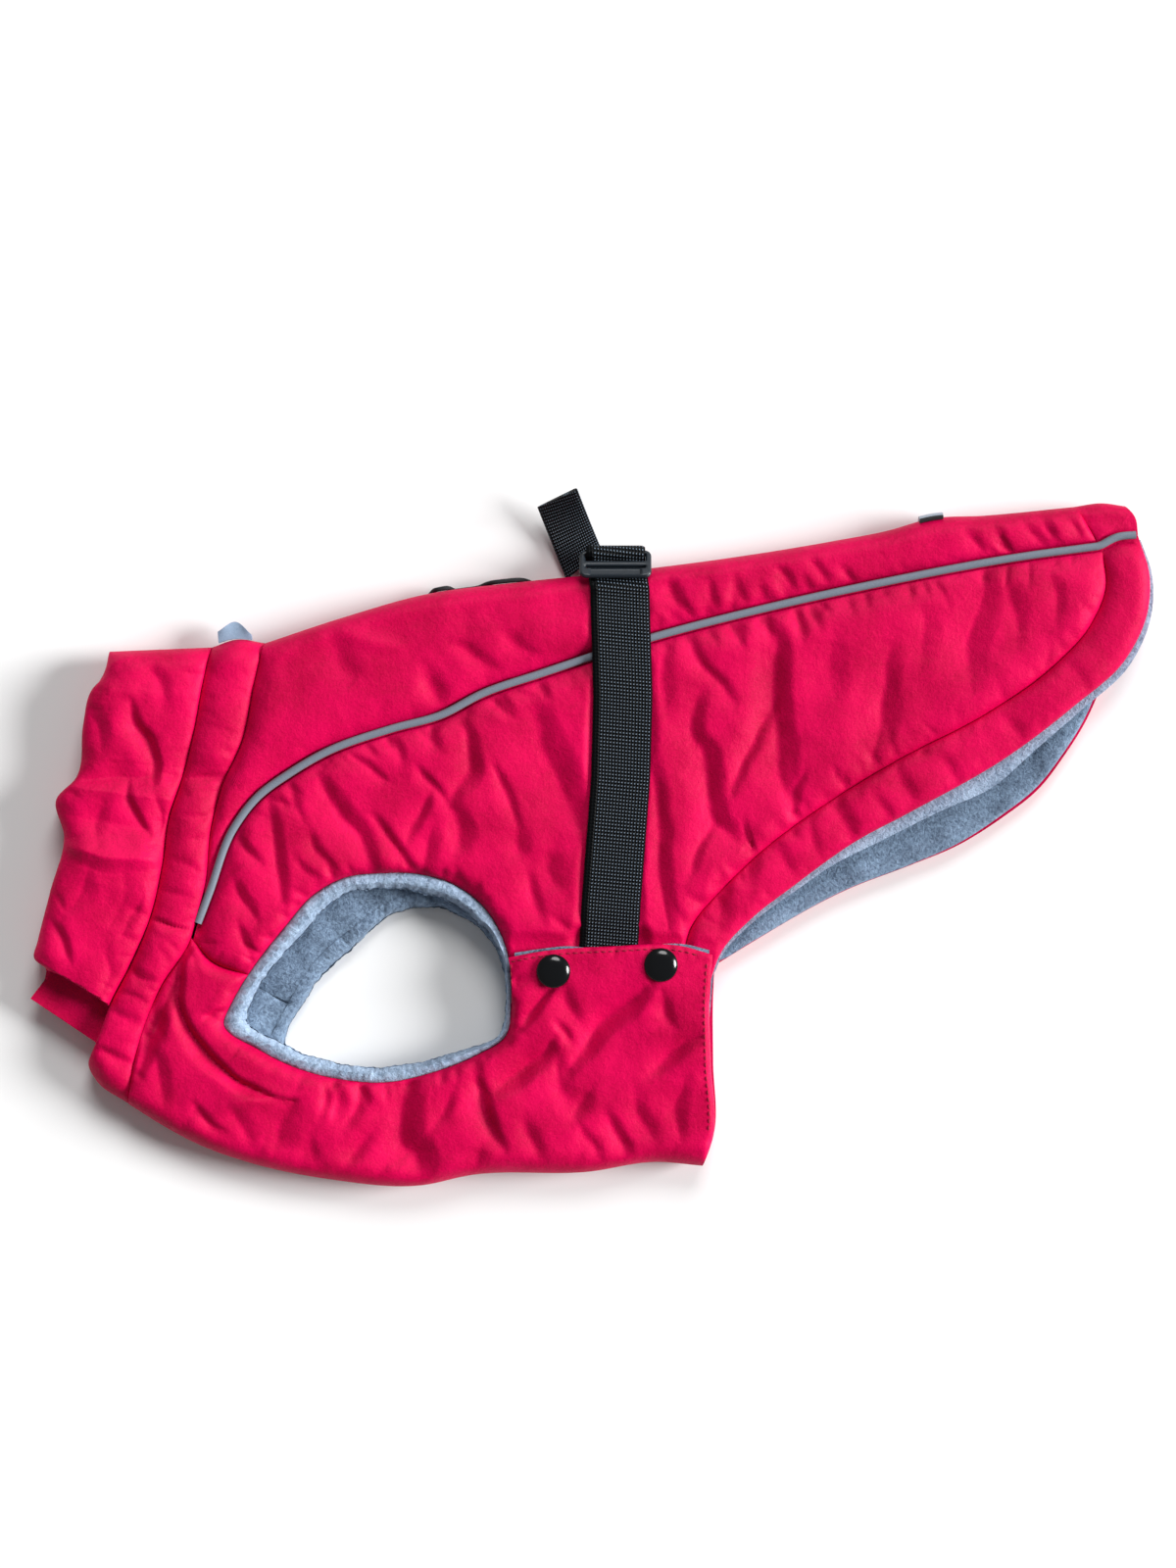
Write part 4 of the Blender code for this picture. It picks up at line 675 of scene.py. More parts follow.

# Folds of the upper side: the points of each one's line, the width of its narrow flank, depth
upperFolds = [
    # side panel, between neck and strap
    ([(-101, 37), (-95, 31.5), (-90, 27.5), (-84.5, 24.5)], 2.9, 1.2),
    ([(-114.5, 27), (-109, 16), (-104, 9), (-97, 1), (-94, -6), (-93.5, -13)], 6.6, 2.2),
    ([(-91, 10), (-87, 3.5), (-81, -4.5), (-75.5, -11), (-71, -15)], 3.3, 1.7),
    ([(-72, 31), (-67, 24), (-61, 17)], 2.9, 1.4),
    ([(-56, 51.5), (-51.8, 45), (-50.6, 36), (-51.2, 28), (-55, 22), (-59, 14.5)], 5.7, 2.2),
    ([(-59, 14.5), (-56, 9.5), (-54.3, 3), (-56.5, -5)], 6.6, 1.8),
    ([(-40.5, 32), (-37, 24), (-33.3, 15), (-30.5, 6)], 3, 1.2),
    ([(-67, 19), (-71, 11.5), (-75.5, 4), (-77, 0)], 3.1, 1.4),
    ([(-66.5, 5), (-68.5, -3), (-70, -12)], 6.1, 1.4),
    ([(-118.5, 3), (-115.5, -4), (-110, -10), (-106, -14.5)], 3.3, 1.4),
    ([(-24, 57), (-20.5, 44), (-16.5, 32), (-11, 20), (-6, 10), (-4, 2)], 10.7, 2),
    ([(-31, 5), (-30.5, -2), (-27, -7)], 6.6, 1.3), ([(-16, -5), (-18, -12), (-12, -22)], 9, 1.5),
    ([(-57, -12), (-54, -20), (-50, -28)], 3.3, 0.9), ([(-67, 47), (-65.5, 42), (-63, 38)], 4.1, 1),
    ([(-40, 60), (-36, 55), (-31, 51)], 2.3, 0.9),
    ([(-136, 15), (-134, 2), (-132.5, -12), (-129.5, -27)], 5.3, 1.9),
    ([(-124, -8), (-120, -14), (-113, -18)], 3.3, 0.9), ([(-150, 4), (-147, -3), (-140, -10)], 3.3, 1.3),
    ([(-151, -18), (-147, -26), (-141, -33)], 4.1, 1.5),
    ([(-149, -36), (-146, -44), (-143, -52)], 3.7, 1.2), ([(-128, 24), (-125, 16), (-121, 8)], 3.3, 0.9),
    ([(-84, 45), (-81, 39), (-78, 33)], 3, 0.9), ([(-26, -14), (-24, -24), (-19, -33)], 4.1, 1.2),
    ([(-14, -33), (-9, -38), (-4, -43)], 3.3, 1),
    # side panel, behind the strap
    ([(74, 92), (78.4, 86), (78.6, 70), (78.4, 57), (80, 46), (81, 36), (82, 26), (84.5, 17)], 7.8, 2.5),
    ([(78.4, 57), (75, 50.5), (70, 42), (65.5, 33), (61, 20)], 4.1, 1.7),
    ([(128, 80), (125.5, 68), (124.5, 55), (122.5, 43), (120, 32)], 7.4, 1.8),
    ([(43, 88), (45.5, 79), (51, 71), (58, 63), (61, 58)], 3.8, 1.4),
    ([(46.5, 61), (43.5, 52), (43.5, 44), (48, 36), (50, 27), (51.5, 18), (54.5, 6), (60, 1),
      (65, -3)], 7.4, 2.6), ([(26, 36), (28, 22), (29.5, 5), (30, -12), (32, -28), (34.5, -42)], 6.1, 1.9),
    ([(53, 6), (48, -1), (44.5, -9), (42, -16)], 3.3, 1.1), ([(65.5, 7), (67.5, 1), (70.5, -6)], 2.5, 1),
    ([(33, 82), (31, 68), (33, 52)], 5.7, 1), ([(86, 99), (89, 92), (91, 84)], 4.1, 1.1),
    ([(103, 84), (102, 70), (105, 58)], 8.2, 1), ([(90.5, 28), (87.5, 19), (87, 10)], 3, 1),
    ([(168, 112), (165, 97), (160.5, 82), (161.5, 66)], 9.8, 1.8),
    ([(178, 110), (180, 98), (181, 86)], 6.6, 1), ([(104, 30), (107, 24), (110, 18)], 2.8, 0.8),
    ([(140, 100), (142, 88), (141, 74)], 7.4, 0.9), ([(196, 112), (198, 104), (197, 94)], 4.9, 0.8),
    # back panel
    ([(-69, 68), (-65, 61), (-60.5, 56)], 3.6, 1.4), ([(-80, 80), (-93, 84), (-108, 89)], 3.6, -0.9),
    ([(-58, 83), (-50, 79), (-39, 72.5)], 3.6, 1.4), ([(-70, 74), (-66, 67), (-60, 60)], 3.2, 1),
    ([(-108, 86), (-106, 76), (-98, 68)], 8.1, 1.1), ([(-36, 88), (-30, 82), (-22, 78)], 3.6, 0.9),
    ([(34, 110), (36, 103), (40, 96)], 4.5, 1.6), ([(50.5, 109), (52, 102), (55, 97)], 3.1, 1.1),
    ([(62, 111), (64, 104), (68, 99)], 3.6, 1.2), ([(72.5, 108), (75, 102), (79, 99)], 3.1, 1.1),
    ([(79, 116), (84, 110), (88, 103)], 3.6, 1.2), ([(94, 119), (98, 113), (102, 107)], 3.1, 1),
    ([(108, 114), (111, 109), (115, 106)], 2.7, 0.9), ([(158, 133), (163, 127), (168, 121)], 3.6, 1),
    ([(170, 135), (174, 129), (178, 123)], 3.6, 1), ([(183, 137), (187, 130), (191, 125)], 4.1, 1.2),
    ([(190, 139), (194, 132), (198, 127)], 4.1, 1.4), ([(200, 139), (205, 134), (207, 128)], 3.6, 1),
    # chest: the roll in front of the leg hole stands over the valley outside it
    ([(-167, -44), (-172, -50), (-173.8, -60), (-173, -71), (-169.7, -80), (-164, -89), (-156, -97),
      (-147.6, -103), (-139.6, -107), (-132, -109.8), (-126, -111)], 2.8, 3),
    ([(-162, -76.5), (-158, -73.5), (-153, -73)], 1.6, 1.3),
    ([(-184, -88), (-183, -100), (-180, -113)], 5.7, 1.2),
    ([(-121, -109), (-137, -110), (-150, -112), (-160, -116)], 4.1, -1.1),
    ([(-167, -113), (-161, -120), (-152, -126)], 3.3, 1.5),
    ([(-126, -112), (-131, -122), (-133, -134)], 9, 1.4),
    ([(-112, -103), (-111, -110), (-113, -117)], 2.9, 1.3),
    ([(-105, -104), (-105.5, -110), (-107, -118)], 4.1, 1.3),
    ([(-95, -105), (-98, -112), (-104, -122)], 4.9, 1.5),
    ([(-93, -124), (-98, -131), (-104, -140)], 4.9, 1.5),
    ([(-74, -101), (-77.5, -108), (-79, -116), (-80.5, -125), (-79, -130.5), (-74.5, -134), (-73.5, -140),
      (-69, -147)], 10.7, 3.4), ([(-152, -114), (-147, -122), (-143, -130)], 4.9, 1.1),
    ([(-186, -66), (-184, -76), (-181, -84)], 4.1, 1.1),
    ([(-118, -126), (-117, -134), (-113, -141)], 4.1, 0.9),
    ([(-175, -61.7), (-180.8, -73), (-187, -87), (-191.3, -99.6)], 5, 2.2),
    # belly and flap
    ([(-48.5, -100), (-46.5, -108), (-44.5, -116), (-41, -124), (-37, -131)], 4.8, 2.9),
    ([(-15, -62.5), (-20, -68), (-25, -74), (-29.5, -80)], 2.8, 2.1),
    ([(-11, -63), (-9, -70), (-4, -77)], 4.8, 1.4),
    ([(25, -62.5), (16, -70.5), (8, -76), (2, -82), (-3, -90), (-7, -97)], 6.4, 3.4),
    ([(-14, -77), (-10, -81), (-7, -86)], 2.4, 1.4), ([(31, -66), (32, -73), (36, -79)], 4, 1.4),
    ([(49, -82.5), (41, -86.5), (33, -93), (25, -100)], 4.8, 2),
    ([(-14, -88), (-13, -98), (-10, -110)], 6.4, 1.5),
    ([(-16, -85), (-20, -91), (-27, -97), (-34, -102), (-42.5, -107.5)], 6.4, 3.4),
    ([(0, -107), (-4, -113), (-8, -120)], 5.6, 1.5), ([(7, -116), (11, -123), (17, -133)], 4.8, 1.8),
    ([(-4, -121), (1, -129), (6, -138)], 4, 1.3), ([(-27, -119), (-24, -127), (-19, -137)], 4.8, 1.5),
    ([(20, -110), (22, -118), (27, -127)], 5.6, 1.4), ([(40, -104), (37, -114), (38, -126)], 5.6, 1.3),
    ([(-58, -106), (-60, -114), (-66, -122)], 4, 1),
]
# Folds of the lower side, which lies on the floor
lowerFolds = [
    ([(-120, 30), (-104, 8), (-98, -14)], 7, 2), ([(44, 62), (56, 30), (60, 2)], 8, 2.4),
    ([(82, 92), (88, 58), (90, 20)], 9, 2.2), ([(130, 86), (134, 60), (124, 34)], 9, 1.8),
    ([(-40, 50), (-36, 30), (-30, 6)], 7, 2), ([(-76, -114), (-70, -128), (-74, -142)], 8, 2.4),
    ([(-20, -72), (-28, -92), (-38, -112)], 7, 2), ([(22, -62), (8, -78), (-8, -92)], 7, 1.8),
    ([(-130, 20), (-112, 8), (-96, -4)], 5, 1.4), ([(-60, 40), (-48, 26), (-40, 10)], 5, 1.6),
    ([(-10, 60), (-4, 42), (2, 24)], 6, 1.5), ([(168, 104), (172, 88), (170, 70)], 9, 1.4),
    ([(-40, 90), (-32, 82), (-22, 74)], 4, 1.1), ([(-110, 74), (-98, 79), (-84, 82)], 4, 1),
    ([(60, 108), (64, 102), (70, 96)], 4, 1.1), ([(112, 118), (116, 113), (122, 108)], 4, 1),
    ([(-150, -84), (-144, -96), (-140, -110)], 6, 1.5), ([(34, -100), (24, -112), (14, -124)], 6, 1.3),
    ([(10, 8), (16, -14), (20, -36)], 6, 1.5), ([(-16, -8), (-12, -24), (-8, -40)], 5, 1.3),
    ([(60, 12), (54, -4), (48, -20)], 5, 1.3),
]

# The strap presses the padding down along its own line: x of its middle at each y.
strapLine = np.array([(7.6, -60), (9.4, -27), (13.4, 25), (14.4, 61), (13.3, 97), (13.1, 106), (11.4, 117),
                      (11.3, 124)])
strapBed = {
    "half": 12.4,         # half the width that the strap holds down
    "height": 9.1,        # of the padding under it, above the middle plane
    "bulge": 3.7,         # how much higher it may stand beside it
    "slope": (3, 12),     # the bulge starts this far inside that width and takes this long
    "reach": 9,           # how far beside it the padding is held
    "fades": (106, 100),  # y at which the hold ends, below the slide, and y from which it is whole
}


# Distance past the edge of a band that follows the strap, negative inside it.
def besideStrap(points, half):
    middle = np.interp(points[..., 1], strapLine[:, 1], strapLine[:, 0])
    return np.abs(points[..., 0] - middle) - half


# Padding cut down to the height that the strap allows, and bulging again beside it.
def pressedByStrap(points, height):
    beside = besideStrap(points, strapBed["half"])
    inside, width = strapBed["slope"]
    limit = strapBed["height"] + strapBed["bulge"] * smooth((beside + inside) / width)
    hold = between(points[..., 1], *strapBed["fades"])
    return np.where(beside < strapBed["reach"], height - np.maximum(height - limit, 0) * hold, height)


# Height of a padded surface above the middle plane: from seam height to puff by a quarter ellipse of the
# distance from each seam (its edge, the flat shelf beside it, its shoulder), then the wadding's unevenness
# less the folds, which fade out at the seams and with calm.
def padded(points, base, puff, seams, table, seed, calm=1):
    rise = 1
    for edge, shelf, shoulder in seams:
        rise = rise * arc((distance(points, edge) - shelf) / shoulder)
    relief = loft(points, seed) - folds(points, table)
    return base + (puff - base) * rise + relief * smooth(1.15 * rise) * calm


# Distances from a fold line at which a panel has points: a quarter turn, even steps to the seam's shelf, then
# the shelf.
def foldStations(length, radius, cells, shelfCells=3, turnCells=9):
    turn = radius * (1 - np.cos(np.linspace(0, pi / 2, turnCells + 1)))
    turn = np.broadcast_to(turn, (length.shape[0], turnCells + 1))
    shelf = length - coat["shelf"]
    flat = radius + (shelf - radius) * np.linspace(0, 1, cells + 1)[1:]
    near = shelf + (coat["shelf"] - coat["gap"]) * np.linspace(0, 1, shelfCells + 1)[1:]
    return np.concatenate([turn, flat, near], axis=1), turnCells


# One half of a folded panel, from its fold to its seam: the fold is a quarter circle, the rest is padded.
# A lift raises the inner face into the flap and the outer face more gently. A cover presses the padding.
def foldedHalf(edges, u, radius, side, cells, seams, table, seed, lift=None, hole=None, cover=None):
    low, high = edges[0], edges[1]
    seam = seamHeight(side)
    length = np.linalg.norm(high(u) - low(u), axis=-1)[:, None]
    s, turnCells = foldStations(length, radius, cells)
    turning = np.arange(s.shape[1]) <= turnCells
    innerS = np.where(turning, radius - coat["foldRoom"] * (radius - s) / radius, s)
    plan = patch(*edges, u[:, None], 1 - s / length)
    innerPlan = patch(*edges, u[:, None], 1 - innerS / length)
    keep = None
    if hole is not None:
        plan, keep = openHole(plan, hole)
        innerPlan = np.where(turning[None, :, None], innerPlan, plan)
    innerHeight = np.where(turning, coat["foldRoom"] * arc(s / radius), coat["liningRoom"])
    top = radius * arc(s / radius) + (coat["puff"] - radius) * smooth((s - radius) / coat["puffReach"])
    base = top + (seam - top) * smooth(s / radius)
    if lift is not None:
        raised, gently = (part * ~turning for part in lift(plan))
        innerHeight = innerHeight + (flap["room"] - coat["liningRoom"]) * raised
        top = top + (flap["top"] - top) * gently
        base = base + (flap["edge"] - base) * raised
    height = padded(plan, base, top, seams, table, seed, smooth((s - 1) / 10))     # calm on the fold itself
    height = np.maximum(height, innerHeight + coat["thinnest"])
    if cover is not None:
        height = cover(plan, height)
    outer = withHeight(plan, np.maximum(coat["middle"] + side * height, 0))
    return outer, withHeight(innerPlan, coat["middle"] + side * innerHeight), keep


# Both halves of a folded panel, each given as its outer points, inner points and kept cells, joined along
# their fold.
def foldedPanel(name, upper, lower, node):
    outer = np.concatenate([upper[0][:, :0:-1], lower[0]], axis=1)
    inner = np.concatenate([upper[1][:, :0:-1], lower[1]], axis=1)
    keep = None
    if upper[2] is not None:
        keep = np.concatenate([upper[2][:, ::-1], lower[2]], axis=1)
    wall(name, outer, inner, taffeta, "shell", [node], keep)


# Shell on one side of the coat: its padded surface, never below the floor, and a level inner face.
def shellWall(name, plan, height, side, node, keep=None):
    outer = withHeight(plan, np.maximum(coat["middle"] + side * height, 0))
    inner = withHeight(plan, coat["middle"] + side * coat["liningRoom"])
    wall(name, outer, inner, taffeta, "shell", [node], keep)


# Shares of an edge of about this length, drawn in from both its ends by the gap between pieces.
def clearOfEnds(shares, length):
    gap = coat["gap"] / length
    return gap + (1 - 2 * gap) * shares


# For each panel: its length, the cells along and across it, and how far from each of its seams the padding
# reaches its height.
backPanel = {"length": 400, "along": 340, "upperCells": 38, "lowerCells": 14, "bandShoulder": 9,
             "corner": 0.01, "pipingStart": 0.016}     # shares of the low edge and the piping cut at the band


# Back: the upper half from the piping to the spine, then the lower half.
def makeBackPanel():
    piping, start = curve(pipingLine), backPanel["pipingStart"]
    last = len(bandSeam) - 1
    seam, groove = curve(bandSeam[::-1], last - backRow, last), curve(grooveSpine)
    low = joined((straight(seam(0.0), piping(start)), backPanel["corner"]),
                 (lambda share: piping(start + (1 - start) * share), 1))
    u = clearOfEnds(spread(backPanel["along"], 0.2), backPanel["length"])
    edges = (low, curve(spine), seam, groove)
    pleated = (pleats(low, 1, 8, 6, 2.2, 0.6, -0.35, 11, (0.2, 0.52))
               + pleats(low, 1, 7, 8, 2.6, 0.9, -0.45, 12, (0.53, 1))
               + pleats(seam, -1, 12, 8, 3, 0.7, 0, 14))
    halves = []
    for side, cells in ((1, backPanel["upperCells"]), (-1, backPanel["lowerCells"])):
        seams = [(low, coat["shelf"], coat["shoulder"]), (seam, 0, backPanel["bandShoulder"]),
                 (groove, 0, coat["shoulder"])]
        table = (upperFolds if side > 0 else lowerFolds) + pleated
        cover = pressedByStrap if side > 0 else None
        halves.append(foldedHalf(edges, u, coat["foldRadius"], side, cells, seams, table, 2 + side,
                                 cover=cover))
    foldedPanel("back_cloth", *halves, "back_panel")
    return halves[0][0][:, -3]            # the row of points on the shelf, just above the piping


pipingStitchLine = makeBackPanel()
print("back panel made")

sidePanel = {"length": 400, "along": 400, "upperCells": 112, "lowerCells": 34, "holeShoulder": 7,
             "chestShoulder": 7, "grooveShoulder": 10, "bandShoulder": 7}


# Low edge of a side panel: chest seam, across the leg hole, side seam, then the hem's groove.
def sideLow(chestSeam, under, groove):
    seamEnd, holeEnd, hemStart = sideShares
    return joined((curve([sideCorner] + chestSeam[1:]), seamEnd),
                  (straight(chestSeam[-1], under[0]), holeEnd),
                  (curve(under), hemStart), (curve(groove), 1))


# Height of what lies under the flap, and its rises on the way up from it: how much, from which y to which.
flapBed = {"height": 6.4, "front": -62, "strapHalf": 13, "slope": 6,
           "underStrap": [(5.8, -44, -30)], "besideStrap": [(2.1, -56, -45.5), (4.4, -45.5, -34)]}


# What lies under the flap is pressed flat, most of all under the strap.
def pressedByFlap(points, height):
    x, y = points[..., 0], points[..., 1]
    under, free = (sum((rise * between(y, low, high) for rise, low, high in flapBed[part]), flapBed["height"])
                   for part in ("underStrap", "besideStrap"))
    beside = besideStrap(points, flapBed["strapHalf"])
    limit = under + (free - under) * smooth(beside / flapBed["slope"])
    return np.where(x < flapBed["front"], height, np.minimum(height, limit))


# Side panel: a patch from its low edge to the piping, with flat shelves along both, and its leg hole cut out.
def makeSide(name, chestSeam, under, groove, side, hole, cells, node):
    low, high = sideLow(chestSeam, under, groove), curve(pipingLine)
    bandEdge = straight(low(0.0), high(0.0))
    edges = (low, high, bandEdge, straight(low(1.0), high(1.0)))
    u = clearOfEnds(spread(sidePanel["along"], 0.3), sidePanel["length"])
    length = np.linalg.norm(high(u) - low(u), axis=-1)[:, None]
    shelf = np.minimum(coat["shelf"], 0.3 * length)
    gap = coat["gap"]
    near = gap + (shelf - gap) * np.array([0, 0.5])
    inside = shelf + (length - 2 * shelf) * spread(cells, 0.35)
    d = np.concatenate([near, inside, length - near[:, ::-1]], axis=1)
    plan, keep = openHole(patch(*edges, u[:, None], d / length), hole)
    chestEdge, hem = curve([sideCorner] + chestSeam[1:]), curve(groove)
    seams = [(high, coat["shelf"], coat["shoulder"]), (hem, 0, sidePanel["grooveShoulder"]),
             (chestEdge, 0, sidePanel["chestShoulder"]), (hole, 0, sidePanel["holeShoulder"]),
             (bandEdge, 0, sidePanel["bandShoulder"])]
    pleated = (pleats(high, -1, 8, 9, 2.6, 1.1, 0.45, 21, (0.04, 0.5))
               + pleats(high, -1, 8, 10, 2.8, 1.1, 0.1, 22, (0.52, 0.98))
               + pleats(hem, 1, 8, 10, 2.6, 0.9, 0.1, 23, (0, 0.55))
               + pleats(hem, 1, 9, 7, 2.4, 0.45, 0.1, 26, (0.55, 1))
               + pleats(hole, 1, 6, 6, 2, 0.8, 0.1, 24)
               + pleats(chestEdge, 1, 12, 7, 2.4, 0.6, 0, 25))
    table = (upperFolds if side > 0 else lowerFolds) + pleated
    height = padded(plan, seamHeight(side), coat["puff"], seams, table, 6 + side)
    height = np.maximum(height, coat["liningRoom"] + coat["thinnest"])
    if side > 0:
        height = pressedByFlap(plan, pressedByStrap(plan, height))
    shellWall(name, plan, height, side, node, keep)


makeSide("side_cloth_left", chestSeamUpper, underFlap, grooveUpper, 1, upperHole,
         sidePanel["upperCells"], "side_left")
makeSide("side_cloth_right", chestSeamLower, sideSeamLower, grooveLower, -1, lowerHole,
         sidePanel["lowerCells"], "side_right")
print("side panels made")

chestPanel = {"length": 240, "along": 230, "upperCells": 68, "lowerCells": 26, "holeShoulder": 7,
              "seamShoulder": 7, "bandShoulder": 9}
# Heights of the flap's inner face, top and edge above the middle plane, the width of its hem, and x and y
# over which the panel's inner and outer faces rise into it
flap = {"room": 10.3, "top": 13.5, "edge": 12, "hem": 2.2,
        "inner": ((-62, -42), (-72, -65.5)), "outer": ((-62, -36), (-112, -62))}


# 1 where the belly panel has risen into the flap, 0 where it lies on the lining: inner face, outer face.
def risesToFlap(points):
    return [between(points[..., 1], *flap[face][1]) * between(points[..., 0], *flap[face][0])
            for face in ("inner", "outer")]


# Top edge of a chest panel: chest seam, across the leg hole, then flap or side seam.
def chestTop(chestSeam, top):
    seamEnd, holeEnd = chestShares
    return joined((curve(chestSeam), seamEnd), (straight(chestSeam[-1], top[0]), holeEnd), (curve(top), 1))


# Chest and belly: the upper half with the flap, from the belly's fold to its seams, then the lower half.
def makeChest():
    u = clearOfEnds(spread(chestPanel["along"], 0.2), chestPanel["length"])
    band, belly = curve(bandSeam, chestRow), curve(bellyFold)
    halves = []
    for side, seam, top, end, lift, hole, cells in (
            (1, chestSeamUpper, flapTop, flapSide, risesToFlap, upperHole, chestPanel["upperCells"]),
            (-1, chestSeamLower, bellySeamLower, flapSideLower, None, lowerHole, chestPanel["lowerCells"])):
        seamEdge, topEdge, endEdge = curve(seam), curve(top), curve(end[::-1])
        edges = (chestTop(seam, top), belly, band, endEdge)
        seams = [(seamEdge, 0, chestPanel["seamShoulder"]), (topEdge, 0, flap["hem"]),
                 (endEdge, 0, flap["hem"]), (band, 0, chestPanel["bandShoulder"]),
                 (hole, 0, chestPanel["holeShoulder"])]
        pleated = (pleats(seamEdge, -1, 12, 7, 2.4, 0.6, 0, 31)
                   + pleats(topEdge, -1, 8, 5, 1.6, 0.5, 0.2, 32)
                   + pleats(band, 1, 14, 8, 3, 0.8, 0.2, 33)
                   + pleats(hole, 1, 7, 7, 2.2, 0.9, 0.2, 34)
                   + pleats(endEdge, -1, 10, 5, 1.8, 0.6, 0.1, 35)
                   + pleats(belly, 1, 17, 10, 4, 1, 0.2, 36))
        table = (upperFolds if side > 0 else lowerFolds) + pleated
        halves.append(foldedHalf(edges, u, coat["foldRadius"], side, cells, seams, table, 10 + side,
                                 lift=lift, hole=hole))
    foldedPanel("chest_cloth", *halves, "chest_panel")
    return halves[0][0]


chestTopGrid = makeChest()
print("chest panel made")

hemBand = {"length": 290, "along": 280, "cells": 20, "corner": 0.985, "shoulder": 7, "endShoulder": 5,
           "thinnest": 0.8}
hemFolds = [
    ([(56.5, -20), (55.5, -30), (55, -41)], 6, 1.1), ([(69, -4), (68, -12), (68.5, -21)], 3.4, 0.8),
    ([(106, 16), (108.5, 8), (111, -1)], 5, 1.3), ([(131, 28), (133, 22), (138, 16)], 5, 1),
    ([(80, -1), (82, -8), (86, -16)], 4, 0.9), ([(94, 6), (96, -2), (98, -8)], 3.4, 0.7),
    ([(150, 36), (153, 28), (158, 22)], 4, 0.7), ([(122, 20), (125, 12), (130, 8)], 4, 0.8),
    ([(176, 52), (181, 46), (184, 40)], 4, 0.7), ([(202, 74), (208, 68), (212, 62)], 4, 0.6),
]


# Hem bands: a padded strip on each side between the rear opening and the groove where it is sewn on.
def makeHemBands():
    u = clearOfEnds(spread(hemBand["along"], 0.1), hemBand["length"])
    for name, groove, hem, side, node in (("hem_cloth_left", grooveUpper, hemUpper, 1, "hem_band_left"),
                                          ("hem_cloth_right", grooveLower, hemLower, -1, "hem_band_right")):
        low, inner = curve(hem), curve(groove)
        high = joined((inner, hemBand["corner"]), (straight(groove[-1], pipingHem[0]), 1))
        end = straight(low(0.0), high(0.0))
        edges = (low, high, end, curve(pipingHem[::-1]))
        length = np.linalg.norm(high(u) - low(u), axis=-1)[:, None]
        d = np.concatenate([np.zeros_like(length), length * spread(hemBand["cells"], 0.6)[1:-1],
                            length - coat["gap"]], axis=1)
        plan = patch(*edges, u[:, None], d / length)
        seam = seamHeight(side)
        edge = min(coat["hemEdge"], seam)
        base = edge + (seam - edge) * d / length
        seams = [(low, 0, hemBand["shoulder"]), (inner, 0, hemBand["shoulder"]),
                 (end, 0, hemBand["endShoulder"]),
                 (curve(pipingHem), coat["endShelf"], hemBand["shoulder"])]
        table = (hemFolds + pleats(inner, -1, 9, 7, 2.2, 0.45, -0.35, 41, (0, 0.7))
                 + pleats(low, 1, 11, 5, 2, 0.3, 0.2, 42, (0, 0.7)))
        height = padded(plan, base, coat["hemPuff"], seams, table, 14 + side)
        height = np.maximum(height, coat["liningRoom"] + hemBand["thinnest"])
        if side > 0:
            height = pressedByFlap(plan, height)
        shellWall(name, plan, height, side, node)


makeHemBands()

tailBand = {"length": 20, "along": 26, "cells": 9, "shoulder": 6}


# The hem band's stretch over the spine, folded as the back panel is.
def makeTailBand():
    u = clearOfEnds(spread(tailBand["along"]), tailBand["length"])
    piping, groove, hem = curve(pipingHem), curve(grooveSpine), curve(hemSpine)
    halves = []
    for side in (1, -1):
        seams = [(piping, coat["shelf"], tailBand["shoulder"]), (groove, 0, tailBand["shoulder"]),
                 (hem, 0, tailBand["shoulder"])]
        table = pleats(groove, 1, 8, 6, 2, 0.5, 0, 45)
        halves.append(foldedHalf((piping, curve(spineHem), groove, hem), u, coat["tailRadius"], side,
                                 tailBand["cells"], seams, table, 18 + side))
    foldedPanel("hem_cloth_back", *halves, "hem_band_back")


makeTailBand()
print("hem bands made")

# Fleece linings: sheets of even thickness whose face is brushed into low tufts

liningSheet = {
    "along": 200, "nap": 0.3, "gap": 0.04,
    "start": 0.005,            # share of its length at which a lining starts, clear of the band
    "edge": 0.45, "rim": 1.6,  # share of its thickness at its edge, and how soon it has all of it
    "thinnest": 0.4,
    "uneven": (9, 0.8, 37),    # size, height and seed of the lower linings' unevenness
    "upperCells": {"lining": 40, "chest": 24}, "lowerCells": {"lining": 70, "chest": 36},
}
flapFleece = {"top": [(-31.5, -48.2), (-20.8, -46.6), (-8, -45.4), (-2, -45.9), (9, -46), (21, -45.9),
                      (27, -44.9), (40, -44.5), (51, -47)],
              "bottom": [(-31.5, -60), (9, -60), (50, -60)], "heights": (8.9, 10), "along": 80, "cells": 14}
# Folds of the lower lining where it shows: along the upper hem, and in the leg hole
liningFolds = [
    ([(196, 44), (190, 37), (171, 20.5), (150, 11), (124, -2), (100, -14), (86, -25)], 10, 2.4),
    ([(-113, -26), (-108, -39), (-98, -52)], 7, 1.5), ([(-124, -36), (-117, -46), (-106, -58)], 6, 1.3),
    ([(-128, -46), (-122, -54), (-113, -58)], 7, 1.1), ([(-98, -17), (-92, -28), (-84, -40)], 7, 1.5),
    ([(-84, -15), (-78, -24), (-72, -33)], 6, 1.3), ([(-138, -64), (-131, -68), (-125, -72)], 1.6, 1.2),
    ([(-66, -24), (-60, -32), (-56, -40)], 6, 1),
]
liningSpine = [(-142.1, 65.8), (-104, 80), (-68, 90), (-30, 95.2), (13, 99.6), (58, 105.2),
               (103.8, 112.6), (145, 121.6), (168.8, 123.6), (206, 127.2), (225, 127.6)]
liningBelly = [(-193.3, -96.7), (-178, -106), (-162, -115), (-141, -123.5), (-108, -130.5),
               (-71, -132.5), (-50, -128.5), (0, -127), (28, -123), (47, -123)]
